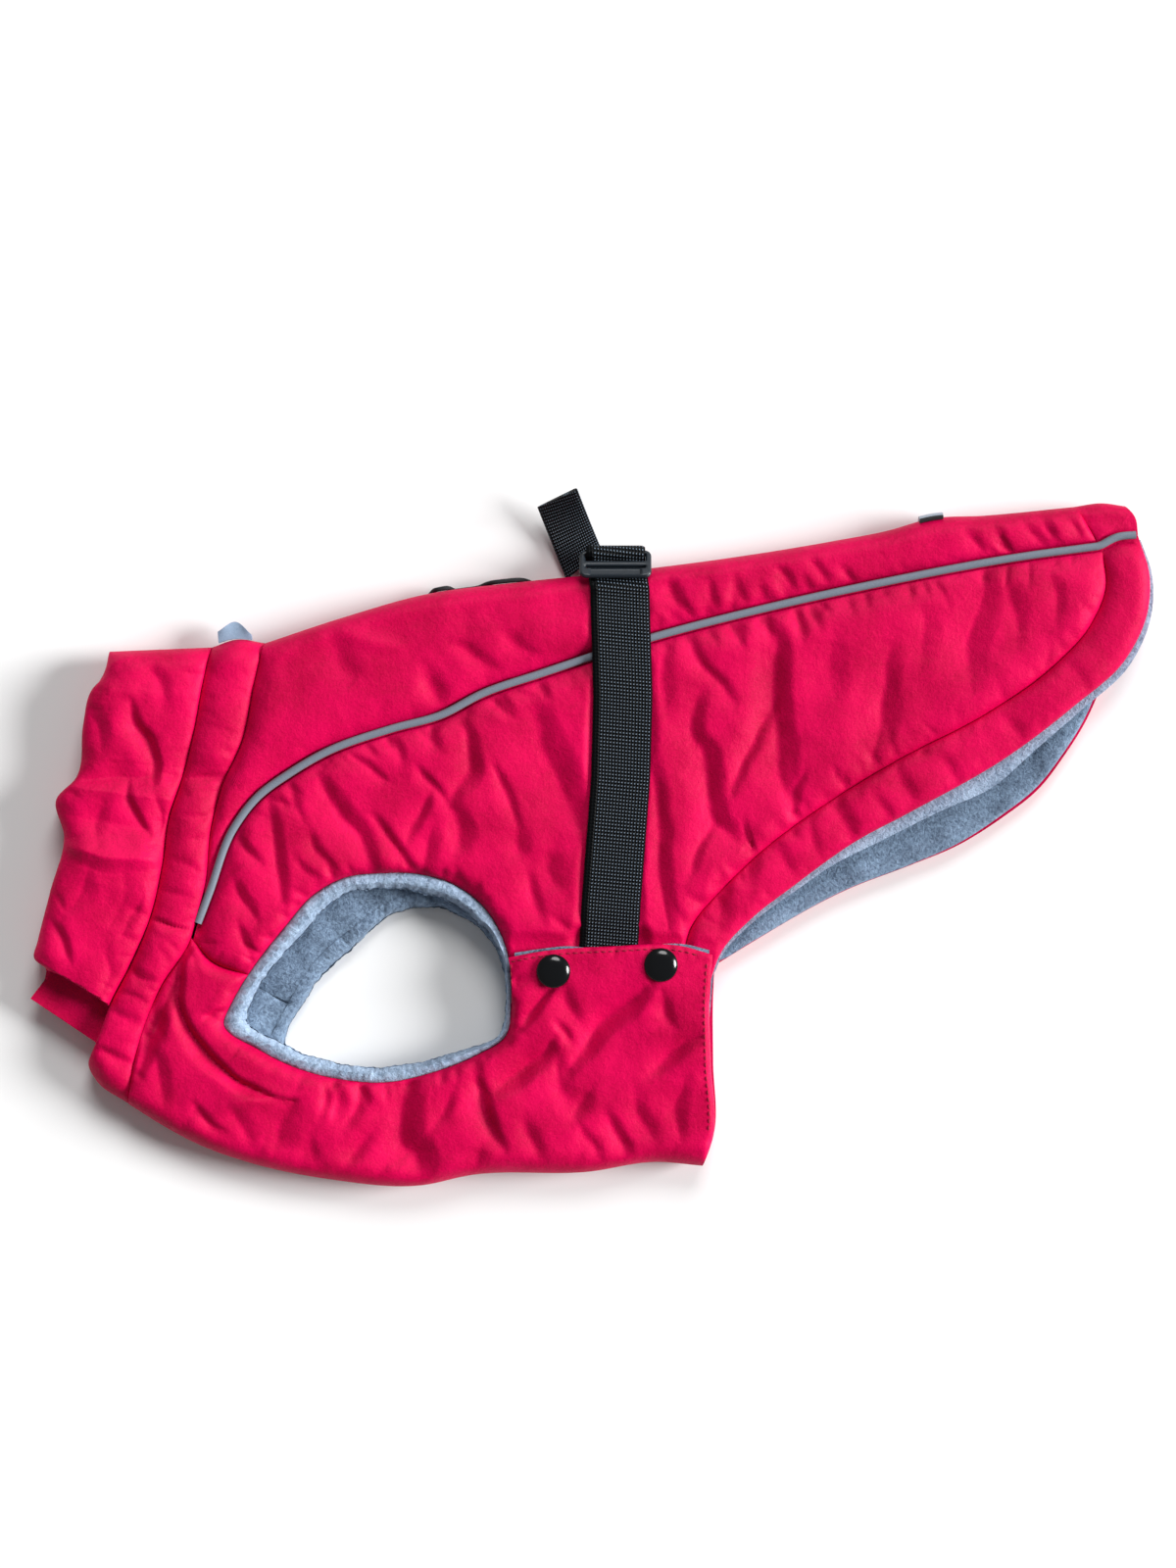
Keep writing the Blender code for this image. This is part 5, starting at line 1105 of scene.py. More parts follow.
liningHemUpper = [(38, -63.5), (50, -61.5), (57.5, -48), (71.5, -34), (88, -22), (104, -11), (124, -1),
                  (150, 12), (171, 21.5), (190, 38), (209, 54.4), (230, 74), (239.2, 96), (239.4, 112),
                  (234.4, 127)]
liningHemLower = [(44, -53.5), (55.1, -52.1), (69.1, -44.1), (110.2, -21.4), (136.6, -11.2), (156.6, -2.4),
                  (175.2, 9.6), (191, 22.2), (201.6, 35.8), (210, 49), (218, 66.4), (229, 90.2),
                  (234.8, 108), (232, 127)]
chestLiningTop = [(-40, -72), (0, -72), (49.5, -72)]
chestLiningTopLower = [(-36, -55), (10, -54.5), (53.4, -54)]


# Nap: three layers of noise, the finest about a tuft wide.
def nap(points):
    return layeredNoise(points, [(2.4, 0.5, 31), (1.3, 0.35, 33), (7, 0.6, 35)])


# Lining: a flat patch, thinner towards its low edge, whose brushed face is shaped by the nap and, on the
# lower side, by folds. On the upper side it looks down, so only an edge shows, painted pale as lit fleece
# but for the flap's; the lower side and the flap are painted darker as fleece in shade.
def makeLining(name, edges, u, side, hole, node, cells, heights=coat["lining"]):
    low, high = edges[0], edges[1]
    near, far = heights
    length = np.linalg.norm(high(u) - low(u), axis=-1)[:, None]
    gap = liningSheet["gap"] / length
    plan = patch(*edges, u[:, None], gap + (1 - 2 * gap) * spread(cells, 0.3))
    keep = None
    if hole is not None:
        plan, keep = openHole(plan, hole)
    away = distance(plan, low)
    rim = liningSheet["edge"] + (1 - liningSheet["edge"]) * arc(away / liningSheet["rim"])
    thick = (far - near) * rim + liningSheet["nap"] * nap(plan)
    if side < 0:
        dip = folds(plan, liningFolds) - layeredNoise(plan, [liningSheet["uneven"]])
        thick = np.maximum(thick - dip * smooth(away / 3), liningSheet["thinnest"])
    face = coat["middle"] + side * far
    # Lower linings and the flap's strip get the fleece painted darker as in shade; upper linings get the one
    # painted paler as lit.
    finish = fleece if side < 0 or name == "flap_fleece" else paleLitFleece
    wall(name, withHeight(plan, face), withHeight(plan, face - side * thick), finish, "fleece", [node], keep)


# Linings of the two body sides and the two chest sides, then the strip that shows along the flap's top.
def makeLinings():
    reverse = bandSeam[::-1]
    last = len(bandSeam) - 1
    u = liningSheet["start"] + (1 - liningSheet["start"]) * spread(liningSheet["along"], 0.2)
    steps = {1: (u[::2], liningSheet["upperCells"]), -1: (u, liningSheet["lowerCells"])}
    spineEdge = curve(liningSpine)
    band = curve(reverse, last - chestRow, last - liningRows[0])
    for name, seam, under, hem, side, hole, node in (
            ("lining_fleece_left", chestSeamUpper, underFlap, liningHemUpper, 1, upperHole, "lining_left"),
            ("lining_fleece_right", chestSeamLower, sideSeamLower, liningHemLower, -1, lowerHole,
             "lining_right")):
        low = sideLow(seam, under, hem)
        edges = (low, spineEdge, band, straight(low(1.0), spineEdge(1.0)))
        shares, cells = steps[side]
        makeLining(name, edges, shares, side, hole, node, cells["lining"])
    belly = curve(liningBelly)
    band = curve(reverse, last - liningRows[1], last - chestRow)
    for name, seam, top, side, hole, node in (
            ("chest_fleece_left", chestSeamUpper, chestLiningTop, 1, upperHole, "chest_lining_left"),
            ("chest_fleece_right", chestSeamLower, chestLiningTopLower, -1, lowerHole, "chest_lining_right")):
        high = chestTop(seam, top)
        edges = (belly, high, band, straight(belly(1.0), high(1.0)))
        shares, cells = steps[side]
        makeLining(name, edges, shares, side, hole, node, cells["chest"])
    makeLining("flap_fleece", stripEdges(flapFleece["top"], flapFleece["bottom"]),
               np.linspace(0, 1, flapFleece["along"] + 1), 1, None, "flap_lining", flapFleece["cells"],
               flapFleece["heights"])


makeLinings()
print("linings made")

# Points round the hole and the section, and millimetres of noise round the hole. For each binding: its lowest
# and highest height, how much its top drops at the seam and at the free edge, and how its section is there:
# 0 is square, 1 is round, and its fleece: painted paler as lit on the upper binding, darker as in shade on
#                                          the lower
binding = {"around": 420, "points": 26, "nap": 0.3, "length": 560,
           "upper": {"heights": (10.4, 18.2), "outerDrop": 2, "innerDrop": 2.2, "square": (0.2, 0.8),
                     "finish": paleLitFleece, "folds": []},
           "lower": {"heights": (0.3, 9.7), "outerDrop": 0, "innerDrop": 2, "square": (0.06, 0.8),
                     "finish": fleece, "folds": liningFolds}}


# Binding: a section carried round the leg hole from its seam inwards, square where it is sewn and round at
# its free edge, its skin lifted by the nap.
def makeBinding(name, table, form, node, seed):
    outline = holeOutline(table, binding["around"])
    inward = unit(legHoleCentre - outline[:, :2])
    angle = fullTurn(binding["points"])
    along = np.linspace(0, binding["length"], binding["around"], endpoint=False)[:, None]
    sewn, free = form["square"]
    cosine, sine = np.cos(angle), np.sin(angle)
    across = (1 - np.sign(cosine) * np.abs(cosine) ** np.where(cosine > 0, sewn, free)) / 2
    steep = np.sign(sine) * np.abs(sine) ** np.where(cosine > 0, sewn, free)
    low, high = form["heights"]
    wide = (outline[:, None, 2] + 0.5 * softNoise(along, along, 17, seed)
            + 0.25 * softNoise(along, along, 6, seed + 3))
    fluff = binding["nap"] * (softNoise(along, angle * 4, 1.6, seed)
                              + 0.8 * softNoise(along, angle * 4, 3.4, seed + 1))
    drop = form["innerDrop"] * smooth((across - 0.45) / 0.55) + form["outerDrop"] * smooth(1 - across / 0.4)
    reach = across * wide - fluff * cosine * (cosine < 0)
    points = outline[:, None, :2] + inward[:, None] * reach[..., None]
    drop = drop + folds(points, form["folds"])
    lift = (low + high) / 2 + ((high - low) / 2 - 0.3) * steep + fluff * sine - drop * (sine > 0)
    loop(name, withHeight(points, np.maximum(lift, 0)), form["finish"], node)


makeBinding("leg_fleece_left", legHoleUpper, binding["upper"], "leg_binding_left", 41)
makeBinding("leg_fleece_right", legHoleLower, binding["lower"], "leg_binding_right", 47)
print("leg bindings made")

# Collar and neck band: tubes pressed flat

collarSeam = [(-160.4, 81.4), (-164.2, 64.2), (-167.9, 43.8), (-172.9, 25), (-177.9, 10),
              (-180.8, -10.4), (-186.2, -33.8), (-195, -54.2), (-202.9, -69.2), (-208.8, -87.2)]
collarEdge = [(-203.8, 79.6), (-206, 69), (-211, 63), (-214.6, 48.3), (-217.5, 26), (-226, 16.5),
              (-222.6, 1), (-228.3, -22.1), (-233.6, -43), (-235.2, -50.6), (-230.2, -55.2),
              (-229.4, -57.8), (-233.4, -62.6), (-237.5, -68)]
bandSpine = [(-137.9, 83.2), (-149.6, 84.8), (-160.4, 81.4)]
bandThroat = [(-195.8, -112.9), (-209.6, -103), (-213, -96), (-208.8, -87.2)]
# Half the room inside a tube, its padding's thickness at a fold and the least height of its inner face, then
# the cells along it, across a face and round a fold
tube = {"room": 1.5, "wall": 7.5, "lowest": 4, "axial": 64, "middle": 190, "turn": 10}
# For each tube: half its height at shares of the way from spine to throat, the shares of its length clear at
# both ends, its ends' share of the height, how soon it has all of it, how uneven and how creased it is
bandTube = {"heights": [(0, 10.4), (0.25, 11), (0.3, 10), (0.4, 11), (0.7, 11.2), (0.86, 10.2), (1, 9.4)],
            "clear": (0.003, 0.003), "endShare": (0.55, 0.55), "shoulder": (0.5, 0.5), "bulge": 0.5,
            "gather": 0.65}
collarTube = {"heights": [(0, 11), (0.12, 12), (0.3, 10.8), (0.38, 12.8), (0.46, 11.4), (0.62, 12.8),
                          (0.85, 12.4), (1, 11.5)],
              "clear": (0.001, 0), "endShare": (0.55, 0.45), "shoulder": (0.25, 0.3), "bulge": 1.3,
              "gather": 1}
collarFolds = [
    ([(-194, 58), (-192, 47), (-186, 40), (-184, 33), (-184.5, 24)], 4, 2.2),
    ([(-222, 24), (-206, 25.5), (-196, 26), (-186, 26)], 7.2, 2.6),
    ([(-194.5, 23), (-194, 14), (-190, 7), (-186.5, 2)], 2.9, 1.5),
    ([(-180, -8), (-192, -8), (-205, -7.5), (-216, -4.5), (-224, -2)], 5.9, -2.4),
    ([(-227, -34), (-223.5, -42), (-219.5, -51)], 3.6, 1.5),
    ([(-193, 77.5), (-199, 76), (-206, 72)], 2.2, -0.8), ([(-214, 56), (-208, 48), (-206, 38)], 5.4, 1),
    ([(-196, -14), (-197, -26), (-203, -38)], 8.1, 1.1), ([(-206, 14), (-209, 6), (-208, -2)], 5.4, 0.9),
    ([(-184, 18), (-181, 10), (-182, 2)], 3.1, 1), ([(-188, 74), (-183, 68), (-180, 60)], 5.4, 1),
    ([(-205, -48), (-203, -56), (-206, -64)], 5.4, 1.1), ([(-212, -14), (-215, -24), (-221, -32)], 6.3, 1),
    ([(-190, -26), (-194, -34), (-199, -42)], 3.6, 1),
]
bandFolds = [
    ([(-173, 25.3), (-164, 25.8), (-155, 27)], 2.6, 1.8), ([(-169, 31), (-160, 29), (-150, 33)], 4, 0.8),
    ([(-179, -8.5), (-171, -10.5), (-164, -14)], 3.2, 1),
    ([(-188, -34), (-179, -36), (-169, -38.4)], 1.8, 1.9),
    ([(-197, -53), (-191, -58), (-183, -61)], 3.2, 2), ([(-175, 10.5), (-167, 9.5), (-159, 9)], 2.4, 0.7),
    ([(-210, -88), (-201, -92.5), (-192, -96)], 2.6, 1.8),
    ([(-203, -72), (-196, -76), (-187, -78)], 3.2, 1.2), ([(-168, 48), (-160, 47), (-151, 44)], 4, 0.6),
    ([(-166, 66), (-157, 68), (-147, 67)], 5, 0.6), ([(-184, -22), (-176, -23), (-168, -26)], 3, 0.8),
    ([(-200, -64), (-193, -66), (-187, -70)], 2.4, 1),
]
# Edge of the collar's upper layer at the throat, past which only the lower layer shows, and that one's height
layerEdge = [(-243, -53), (-232, -54.8), (-226.8, -56.2), (-215.6, -62.2), (-208, -67), (-202.4, -71.5),
             (-192, -80)]
lowerLayer = {"height": 11.6, "uneven": 0.5, "fades": (-0.4, 1.2)}


# Tube pressed flat: each section round it is two padded faces that meet in a fold; a is the share along the
# tube's length, s the way from the spine fold to the throat fold.
def makeTube(name, edges, form, table, seed, node, layered=False):
    a = spread(tube["axial"], 0.5)[:, None]
    sample = np.linspace(0, 1, 200)
    lengths = [np.linalg.norm(np.diff(edge(sample), axis=0), axis=1).sum() for edge in edges[:2]]
    length = lengths[0] + (lengths[1] - lengths[0]) * a
    radius = coat["foldRadius"]
    turn = radius * (1 - np.cos(np.linspace(0, pi / 2, tube["turn"] + 1)))
    middle = turn[-1] + (length - 2 * turn[-1]) * np.linspace(0, 1, tube["middle"])[1:-1]
    ends = np.broadcast_to(turn, (a.shape[0], tube["turn"] + 1))
    s = np.concatenate([ends, middle, length - ends[:, ::-1]], axis=1)
    innerS = tube["wall"] + s * (length - 2 * tube["wall"]) / length
    clear, endShare = form["clear"], form["endShare"]
    across = clear[0] + (1 - clear[0] - clear[1]) * a
    plan = patch(*edges, s / length, across, fade=8)
    innerPlan = patch(*edges, innerS / length, across, fade=30)
    places, heights = np.array(form["heights"]).T
    half = np.interp(s / length, places, heights)
    innerHalf = np.interp(innerS / length, places, heights)
    roundEnds = arc(s / radius) * arc((length - s) / radius)
    near = np.abs(a - np.array([0, 1])) / form["shoulder"]
    sides = ((endShare[0] + (1 - endShare[0]) * arc(near[:, :1]))
             * (endShare[1] + (1 - endShare[1]) * arc(near[:, 1:])))
    rise = half * roundEnds * sides
    room = np.minimum(tube["room"], 0.25 * innerHalf)
    fromFold = np.minimum(innerS, length - innerS) - tube["wall"]
    innerRise = room * arc(fromFold / tube["room"])
    table = (table + pleats(edges[0], -1, 11, 7, 2.4, 0.7, 0.1, seed)
             + pleats(edges[1], 1, 13, 6, 2.4, 0.6, 0.1, seed + 1))
    dip = form["gather"] * folds(plan, table) - form["bulge"] * loft(plan, seed)
    dip = dip * roundEnds * smooth(2.2 * sides - 1.2)
    rounds = []
    for side, columns in ((1, slice(None)), (-1, slice(-2, 0, -1))):
        outer = half + side * (rise - (dip if side > 0 else 0.5 * np.maximum(dip, 0)))
        inner = innerHalf + side * innerRise
        if layered and side > 0:
            past = edgeSide(plan, layerEdge) * distance(plan, curve(layerEdge))
            beyond = between(past, *lowerLayer["fades"])
            lower = lowerLayer["height"] + layeredNoise(plan, [(9, lowerLayer["uneven"], seed)])
            outer = np.where(outer > lower, outer + (lower - outer) * beyond, outer)
        if side > 0:       # the inner face stays under the outer one
            inner = np.minimum(inner, np.maximum(outer - coat["thinnest"], tube["lowest"]))
        outerPoints = withHeight(plan, np.maximum(outer, 0))
        innerPoints = withHeight(innerPlan, inner)
        rounds.append(np.concatenate([outerPoints, innerPoints[::-1]], axis=0)[:, columns])
    sections = np.concatenate(rounds, axis=1).transpose(1, 0, 2)
    loop(name, sections, taffeta, node)


# +1 on the throat side of a line, -1 on the other: the sign of the cross product with its nearest stretch.
def edgeSide(points, table):
    line = curve(table)(np.linspace(0, 1, 200))
    flat = points.reshape(-1, 2)
    nearest = nearestMark(flat, line)
    tangent = np.gradient(line, axis=0)[nearest]
    off = flat - line[nearest]
    return np.sign(tangent[:, 1] * off[:, 0] - tangent[:, 0] * off[:, 1]).reshape(points.shape[:-1])


makeTube("band_cloth", (curve(bandSeam), curve(collarSeam), curve(bandSpine), curve(bandThroat)),
         bandTube, bandFolds, 22, "neck_band")
makeTube("collar_cloth", stripEdges(collarSeam, collarEdge), collarTube, collarFolds, 25, "collar",
         layered=True)
print("collar and neck band made")

# Trim

pipingCord = {
    "halfWidth": 1.65, "halfHeight": 1.15, "clear": 0.45, "points": 14,
    "body": (0.004, 0.998, 400), "hem": (0.08, 0.94, 16),      # first and last share of each line, and steps
    "wave": 0.12, "waveSteps": 11,      # its small rise and fall
}


# Piping: an oval section carried along the seam between back and side, and on over the hem band.
def makePiping(name, side, node):
    plan = np.concatenate([curve(pipingLine)(np.linspace(*pipingCord["body"])),
                           curve(pipingHem)(np.linspace(*pipingCord["hem"]))])
    height = coat["middle"] + side * (seamHeight(side) + pipingCord["clear"] + pipingCord["halfHeight"])
    path = withHeight(plan, height)
    path[:, 2] += pipingCord["wave"] * np.sin(np.arange(len(path)) / pipingCord["waveSteps"])
    angle = fullTurn(pipingCord["points"])
    rings = carried(path, pipingCord["halfWidth"] * np.cos(angle), pipingCord["halfHeight"] * np.sin(angle))
    faces, caps = ringFaces(len(path), len(angle))
    makePiece(name, rings.reshape(-1, 3), faces, tape, [node], caps=caps)


makePiping("piping_tape_left", 1, "piping_left")
makePiping("piping_tape_right", -1, "piping_right")

pipingStitch = {"pitch": 2.9, "radius": 0.2, "lift": 0.15}
stitches("stitch_piping", pipingStitchLine[14:-4] + (0, 0, pipingStitch["lift"]),      # clear of both ends
         pipingStitch["pitch"], pipingStitch["radius"])

flapStitch = {"pitch": 3, "radius": 0.27, "lift": 0.06, "fromTop": 2.4, "fromSide": 2.6,
              "top": (-33, 47.5),      # x of the first and last stitch of the top row
              "side": (14, 3)}         # columns of the chest's grid left out at the belly and at the top


# Rows of stitches along the flap's top and side, on the points of the cloth's grid that are nearest to each
# row's distance from the edge.
def makeFlapStitches():
    grid, lift = chestTopGrid, (0, 0, flapStitch["lift"])
    length = np.linalg.norm(np.diff(grid[:, :, :2], axis=1), axis=2)
    fromTop = np.cumsum(length[:, ::-1], axis=1)[:, ::-1]
    fromTop = np.concatenate([fromTop, np.zeros((len(grid), 1))], axis=1)
    column = np.abs(fromTop - flapStitch["fromTop"]).argmin(axis=1)
    line = grid[np.arange(len(grid)), column]
    first, last = flapStitch["top"]
    top = line[(line[:, 0] > first) & (line[:, 0] < last)]
    stitches("stitch_flap_top", top + lift, flapStitch["pitch"], flapStitch["radius"])
    low, high = flapStitch["side"]
    columns = np.arange(low, grid.shape[1] - high, 2)
    fromSide = np.linalg.norm(grid[:, columns, :2] - grid[-1, columns, :2], axis=2)
    side = grid[np.abs(fromSide - flapStitch["fromSide"]).argmin(axis=0), columns]
    stitches("stitch_flap_side", side + lift, flapStitch["pitch"], flapStitch["radius"])


makeFlapStitches()
print("piping and stitches made")

# Webbing: y, z of its centre line, from under the flap up to the slide, through it in the slide's own tilted
# plane, and round the spine. Its UV runs across from uvShift, half its width to each side.
strap = {"width": 25.0, "thickness": 1.6, "tilt": radians(-34), "centre": np.array([11.2, 116.4, 18.8]),
         "uvShift": 50, "edge": (0.1, 0.12),       # taken off half its thickness, and half its edge's
         "rise": [(-60, 17.4), (-48, 17.4), (-43.5, 17.6), (-37, 19.1), (-31, 20.4), (-24, 20.8),
                  (40, 20.8), (90, 20.8), (103, 20.8)],
         "thread": [(-9, -2.7), (-5.8, -2.7), (-2.5, -2.7), (0.2, -2.7), (2.1, -1.9), (3, -0.1), (3.5, 1.6),
                    (4.4, 2.7), (5.8, 2.9), (7.2, 2.3), (8, 0.6), (8.3, -2)],
         "return": [(120.3, 8.2), (116.8, 4.3), (112, 1.9), (106, 0.95), (98, 0.9), (20, 0.9), (-51, 0.9)]}


webbingForm = {"across": 24, "square": 14}     # points across, and the power that makes it square


# Half the webbing's thickness at t from -1 to 1 across it: half a superellipse on top of its thin edge.
def webbingHalf(t, halfThickness, edge):
    return halfThickness * (1 - np.abs(t) ** webbingForm["square"]) ** 0.5 + edge


# Strap: a flat section with rounded edges carried along the centre line.
def makeStrap():
    tilt = strap["tilt"]
    along = np.array([np.cos(tilt), np.sin(tilt)])
    above = np.array([-along[1], along[0]])
    threaded = [strap["centre"][1:] + p * along + n * above for p, n in strap["thread"]]
    route = splineRows(np.concatenate([strap["rise"], threaded, strap["return"]]), 9)
    forward = unit(np.gradient(route, axis=0))
    normal = np.stack([-forward[:, 1], forward[:, 0]], axis=1)
    x = np.interp(route[:, 0], strapLine[:, 1], strapLine[:, 0])
    t = np.linspace(-1, 1, webbingForm["across"])
    thinner, edge = strap["edge"]
    half = webbingHalf(t, strap["thickness"] / 2 - thinner, edge)
    across, up = np.concatenate([t, t[::-1]]) * (strap["width"] / 2), np.concatenate([half, -half[::-1]])
    ring = np.concatenate([(x[:, None] + across)[..., None],
                           route[:, None] + up[None, :, None] * normal[:, None]], axis=-1)
    faces, caps = ringFaces(*ring.shape[:2])
    place = np.broadcast_arrays(across[None, :] + strap["uvShift"], lengthAlong(route)[:, None])
    uv = np.stack(place, axis=-1).reshape(-1, 2)
    makePiece("strap_webbing", ring.reshape(-1, 3), faces, webbing, ["strap"], uv, caps)


makeStrap()

strapEnd = {"root": ((-9.6, 110.4, 2.4), (5.4, 123.4, 3.6)), "end": ((-22, 141.2, 8.6), (-5, 148.2, 22.4)),
            "steps": 60, "sag": 3, "length": 36, "edge": 0.05}


# Free end of the webbing: a ruled ribbon between a root line and an end line that sags in between.
def makeStrapEnd():
    t = np.linspace(0, 1, strapEnd["steps"])[:, None, None]
    across = np.linspace(0, 1, webbingForm["across"])[None, :, None]
    root, end = (np.array(strapEnd[key], float) for key in ("root", "end"))
    start = root[0] + (root[1] - root[0]) * across
    stop = end[0] + (end[1] - end[0]) * across
    points = start + (stop - start) * t
    points[..., 2] = points[..., 2] - strapEnd["sag"] * np.sin(pi * t[..., 0]) * (0.5 + across[..., 0])
    normal = unit(np.cross(np.gradient(points, axis=0), np.gradient(points, axis=1)))
    half = webbingHalf(2 * across - 1, strap["thickness"] / 2, strapEnd["edge"])
    ring = np.concatenate([points + normal * half, (points - normal * half)[:, ::-1]], axis=1)
    faces, caps = ringFaces(*ring.shape[:2])
    place = np.stack(np.broadcast_arrays(across[..., 0] * strap["width"] + strap["uvShift"],
                                         t[..., 0] * strapEnd["length"]), axis=-1)
    uv = np.concatenate([place, place[:, ::-1]], axis=1).reshape(-1, 2)
    makePiece("strap_end_webbing", ring.reshape(-1, 3), faces, webbing, ["strap_tail"], uv, caps)


makeStrapEnd()
print("webbing made")

# Press studs: the profile is a share of the radius and a height above the flap
snap = {"radius": 7.2, "around": 56,
        "profile": [(0, 2.85), (0.22, 2.81), (0.44, 2.66), (0.64, 2.36), (0.81, 1.86),
                    (0.93, 1.25), (0.99, 0.7), (0.98, 0.3), (0.9, 0)],
        "places": {"snap_cap_front": (-15, -55.8), "snap_cap_rear": (30.4, -53.2)}, "height": 23.8}


# Press stud cap: a profile turned round the vertical, closed by a small disc on top and one below.
def makeSnap(node, x, y):
    profile = splineRows(snap["profile"], 4)[1:]
    angle = fullTurn(snap["around"])
    radius = profile[:, 0, None] * snap["radius"]
    height = snap["height"] + profile[:, 1, None]
    rings = np.stack(np.broadcast_arrays(x + radius * np.cos(angle), y + radius * np.sin(angle), height),
                     axis=-1)
    faces, caps = ringFaces(*rings.shape[:2])
    makePiece(node + "_moulding", rings.reshape(-1, 3), faces, acetal, [node], caps=caps)


for node, (x, y) in snap["places"].items():
    makeSnap(node, x, y)

slide = {
    "half": (15.25, 6.9), "corner": 2.9, "thick": 2.4, "round": 0.9, "edge": 0.25,     # edge: share of thick
    "slotHalf": 12.7, "slots": ((-2.3, -1.3), (1.3, 4.7)), "slotCorner": 0.3,
    "strip": ((-6.3, -5.9), (2.9, 3.3), (-11.2, -10.6)),       # where it sinks in, over y, -y and -|x|
    "stripDepth": 0.5, "step": 0.33, "cells": (8, 69),         # cells beside and along the slots
}


# Distance outside a rounded rectangle, negative inside: the length of what sticks out past the box of its
# corners' centres, less the corner's radius.
def outsideBox(x, y, halfX, halfY, corner):
    dx, dy = np.abs(x) - halfX + corner, np.abs(y) - halfY + corner
    return np.hypot(np.maximum(dx, 0), np.maximum(dy, 0)) + np.minimum(np.maximum(dx, dy), 0) - corner


# Slide: a plate with two slots, its edges rounded by a quarter ellipse of the distance from them, and a
# sunken strip along its front bar.
def makeSlide():
    (halfX, halfY), slotHalf, corner = slide["half"], slide["slotHalf"], slide["corner"]
    besideSlot, alongSlot = slide["cells"]
    xs = np.unique(np.concatenate([np.linspace(-halfX, -slotHalf, besideSlot + 1),
                                   np.linspace(slotHalf, halfX, besideSlot + 1),
                                   np.linspace(-slotHalf, slotHalf, alongSlot + 1)]).round(4))
    breaks = [-halfY, *slide["slots"][0], *slide["slots"][1], halfY]
    ys = np.unique(np.concatenate([np.linspace(a, b, 3 + int((b - a) / slide["step"]))
                                   for a, b in zip(breaks[:-1], breaks[1:])]).round(4))
    x, y = np.meshgrid(xs, ys, indexing="ij")
    edge = -outsideBox(x, y, halfX, halfY, corner)
    middleX, middleY = (x[:-1, :-1] + x[1:, 1:]) / 2, (y[:-1, :-1] + y[1:, 1:]) / 2
    keep = np.ones(middleX.shape, bool)
    for low, high in slide["slots"]:
        fromSlot = outsideBox(x, y - (low + high) / 2, slotHalf, (high - low) / 2, slide["slotCorner"])
        edge = np.minimum(edge, np.maximum(fromSlot, 0))
        keep &= ~((np.abs(middleX) < slotHalf) & (middleY > low) & (middleY < high))
    # Points in the corners are drawn back to their arcs.
    cornerX, cornerY = np.abs(x) - halfX + corner, np.abs(y) - halfY + corner
    beyond = np.hypot(np.maximum(cornerX, 1e-9), np.maximum(cornerY, 1e-9))
    pull = np.where((cornerX > 0) & (cornerY > 0) & (beyond > corner), corner / beyond, 1.0)
    x = np.where(pull < 1, np.sign(x) * (halfX - corner + cornerX * pull), x)
    y = np.where(pull < 1, np.sign(y) * (halfY - corner + cornerY * pull), y)
    front, back, ends = slide["strip"]
    strip = between(y, *front) * between(-y, *back) * between(-np.abs(x), *ends)
    half = slide["thick"] / 2 * (slide["edge"] + (1 - slide["edge"]) * arc(edge / slide["round"]))
    tilt = strap["tilt"]
    turned = np.array([[1, 0, 0], [0, np.cos(tilt), -np.sin(tilt)], [0, np.sin(tilt), np.cos(tilt)]])
    faces = [np.stack([x, y, z], axis=-1) @ turned.T + strap["centre"]
             for z in (half - slide["stripDepth"] * strip, -half)]
    wall("slide_moulding", *faces, slideAcetal, "black_plastic", ["slide_buckle"], keep, sharp=70)


makeSlide()

tab = {"base": [(-157.5, 83.2), (-153, 84.6), (-149, 85.05), (-143.2, 84.5)],
       "top": [(-157.9, 88), (-150.4, 92.3), (-143.5, 86.8)],
       "height": (9, 12), "ripple": 0.5, "turns": 9, "cells": (39, 19)}


# Tab at the neck band: a patch between its sewn edge and its fold, rippled by a sine along them.
def makeTab():
    along, across = tab["cells"]
    u, v = np.linspace(0, 1, along + 1)[:, None], np.linspace(0, 1, across + 1)[None, :]
    plan = patch(*stripEdges(tab["base"], tab["top"]), u, v)
    ripple = tab["ripple"] * np.sin(u * tab["turns"]) * v
    under, over = (withHeight(plan, height + ripple) for height in tab["height"])
    wall("tab_tape", over, under, tabTape, "reflective", ["reflective_tab"])


makeTab()


# Points round the outside of the spine fold, somewhat flatter than a circle; angle 0 is outermost.
def aroundSpine(x, angle, off, flat=0.85):
    rows = curve(spine)(np.linspace(0, 1, 200))
    outermost = np.interp(x, rows[:, 0], rows[:, 1])
    y = outermost - flat * coat["foldRadius"] * (1 - np.cos(angle)) + off * np.cos(angle)
    return np.stack([x, y, coat["middle"] + (coat["foldRadius"] + off) * np.sin(angle)], axis=-1)


# Leash opening: x of its middle and half its length, its cord's radius, the degrees round the fold of its
# middle and from there to its sides, and x and half width of the humps, with the degrees that they rise
leash = {"centre": -46.5, "half": 22, "radius": 1, "clear": 0.1, "middle": -43, "sides": 9.5,
         "humps": [(-62.9, 4.2), (-35.6, 9)], "rise": 32, "steps": 160, "points": 10}


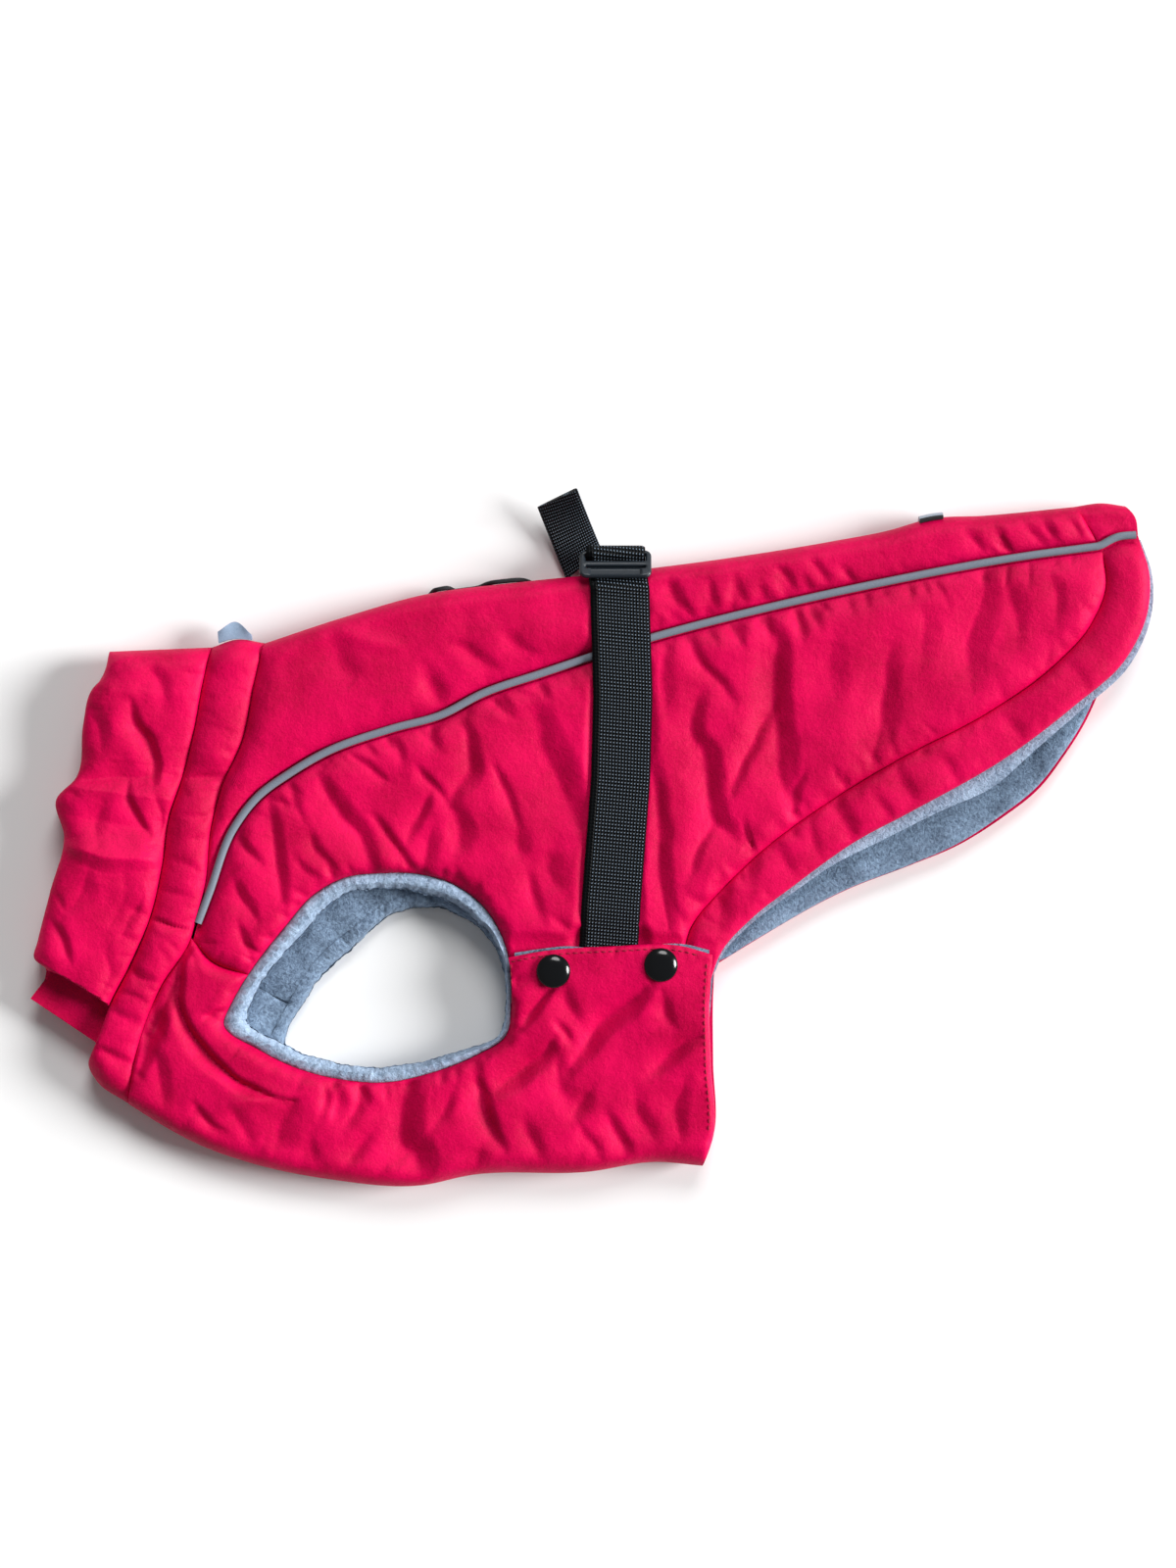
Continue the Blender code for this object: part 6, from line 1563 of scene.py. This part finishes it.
# Leash trim: a round section carried along a flat oval on the spine fold, whose upper side has two humps.
def makeLeashTrim():
    turn = (np.arange(leash["steps"]) + 0.5) * 2 * pi / leash["steps"]
    x = leash["centre"] + leash["half"] * np.sin(pi / 2 * np.cos(turn))
    humps = sum(np.exp(-((x - centre) / half) ** 4) for centre, half in leash["humps"])
    upper = np.clip(2 * np.sin(turn), 0, 1)
    angle = radians(leash["middle"]) + radians(leash["sides"]) * np.sin(turn)
    angle = angle + radians(leash["rise"]) * humps * upper
    path = aroundSpine(x, angle, leash["radius"] + leash["clear"])
    section = fullTurn(leash["points"])[None, :, None]
    forward = unit(np.roll(path, -1, axis=0) - np.roll(path, 1, axis=0))
    away = np.stack([np.zeros_like(angle), np.cos(angle), np.sin(angle)], axis=-1)
    beside = np.cross(forward, away)
    sections = path[:, None] + leash["radius"] * (np.cos(section) * away[:, None]
                                                  + np.sin(section) * beside[:, None])
    loop("leash_cord", sections, blackThread, "leash_trim")


makeLeashTrim()

# Tail loop: x of its edges, and for each piece the degrees round the fold and its faces' distance off it
tailLoop = {"x": (140.4, 150.4), "cells": (23, 15), "tape": ((-35, 24), (0.3, 2.1)),
            "binding": ((24.5, 33), (0.3, 1.6))}


# Tail loop: ribbon round the spine, painted pale silver as the highlight along the dark loop, its upper end
# bound in black.
def makeTailLoop():
    across, along = tailLoop["cells"]
    for name, part, finish, slot, nodes in (
            ("loop_tape", "tape", paleHighlightTape, "reflective", ["tail_loop"]),
            ("loop_binding", "binding", blackThread, "webbing", [])):
        angles, (low, high) = tailLoop[part]
        x, angle = np.meshgrid(np.linspace(*tailLoop["x"], across + 1),
                               np.linspace(*np.radians(angles), along + 1), indexing="ij")
        wall(name, aroundSpine(x, angle, high), aroundSpine(x, angle, low), finish, slot, nodes)


makeTailLoop()
print("trim made")

# Floor, lights and camera

# Metres across the floor, its two colours, the sky's strength, and two soft suns: strength, azimuth from +X,
# elevation, angle across
studio = {"floor": 3.0, "paper": ("#f2f2f2", "#f4f4f4"), "sky": 0.18,
          "suns": {"key": (5.3, 4, 24, 26), "second": (1.6, 80, 43, 28)},
          "gloss": {"Roughness": 0.95, "Specular IOR Level": 0.1}}


# Matt white paper, faintly uneven.
def makePaper():
    made, tree, shader = newMaterial("matt white paper", studio["gloss"])
    place = addNode(tree, "ShaderNodeTexCoord").outputs["Object"]
    cloudy = addNode(tree, "ShaderNodeTexNoise", {"Vector": place, "Scale": 3.0, "Detail": 2.0})
    colour = colourRamp(tree, cloudy.outputs["Fac"], 0.3, studio["paper"][0], 0.7, studio["paper"][1])
    tree.links.new(colour, shader.inputs["Base Color"])
    return made


# The floor, a white sky and the two suns.
def makeStudio():
    half = studio["floor"] / 2
    mesh = bpy.data.meshes.new("floor")
    corners = [(-half, -half, 0), (half, -half, 0), (half, half, 0), (-half, half, 0)]
    mesh.from_pydata(corners, [], [(0, 1, 2, 3)])
    mesh.materials.append(makePaper())
    floor = bpy.data.objects.new("floor", mesh)
    bpy.context.scene.collection.objects.link(floor)
    world = bpy.context.scene.world or bpy.data.worlds.new("studio")
    bpy.context.scene.world = world
    world.use_nodes = True
    background = world.node_tree.nodes["Background"]
    background.inputs["Color"].default_value = (1, 1, 1, 1)
    background.inputs["Strength"].default_value = studio["sky"]
    for name, (strength, azimuth, elevation, across) in studio["suns"].items():
        light = bpy.data.lights.new(name, "SUN")
        light.energy = strength
        light.angle = radians(across)
        lamp = bpy.data.objects.new(name, light)
        lamp.rotation_euler = (0, radians(90 - elevation), radians(azimuth))
        bpy.context.scene.collection.objects.link(lamp)
    bpy.context.scene.view_settings.view_transform = "Standard"


makeStudio()

view = {"place": (-0.0004, 0.0233, 2.0), "lens": 107.35}     # metres, and millimetres of focal length


# The camera looks straight down.
def makeCamera():
    camera = bpy.data.cameras.new("camera")
    camera.lens = view["lens"]
    eye = bpy.data.objects.new("camera", camera)
    eye.location = view["place"]
    bpy.context.scene.collection.objects.link(eye)
    bpy.context.scene.camera = eye


makeCamera()
print("studio made")
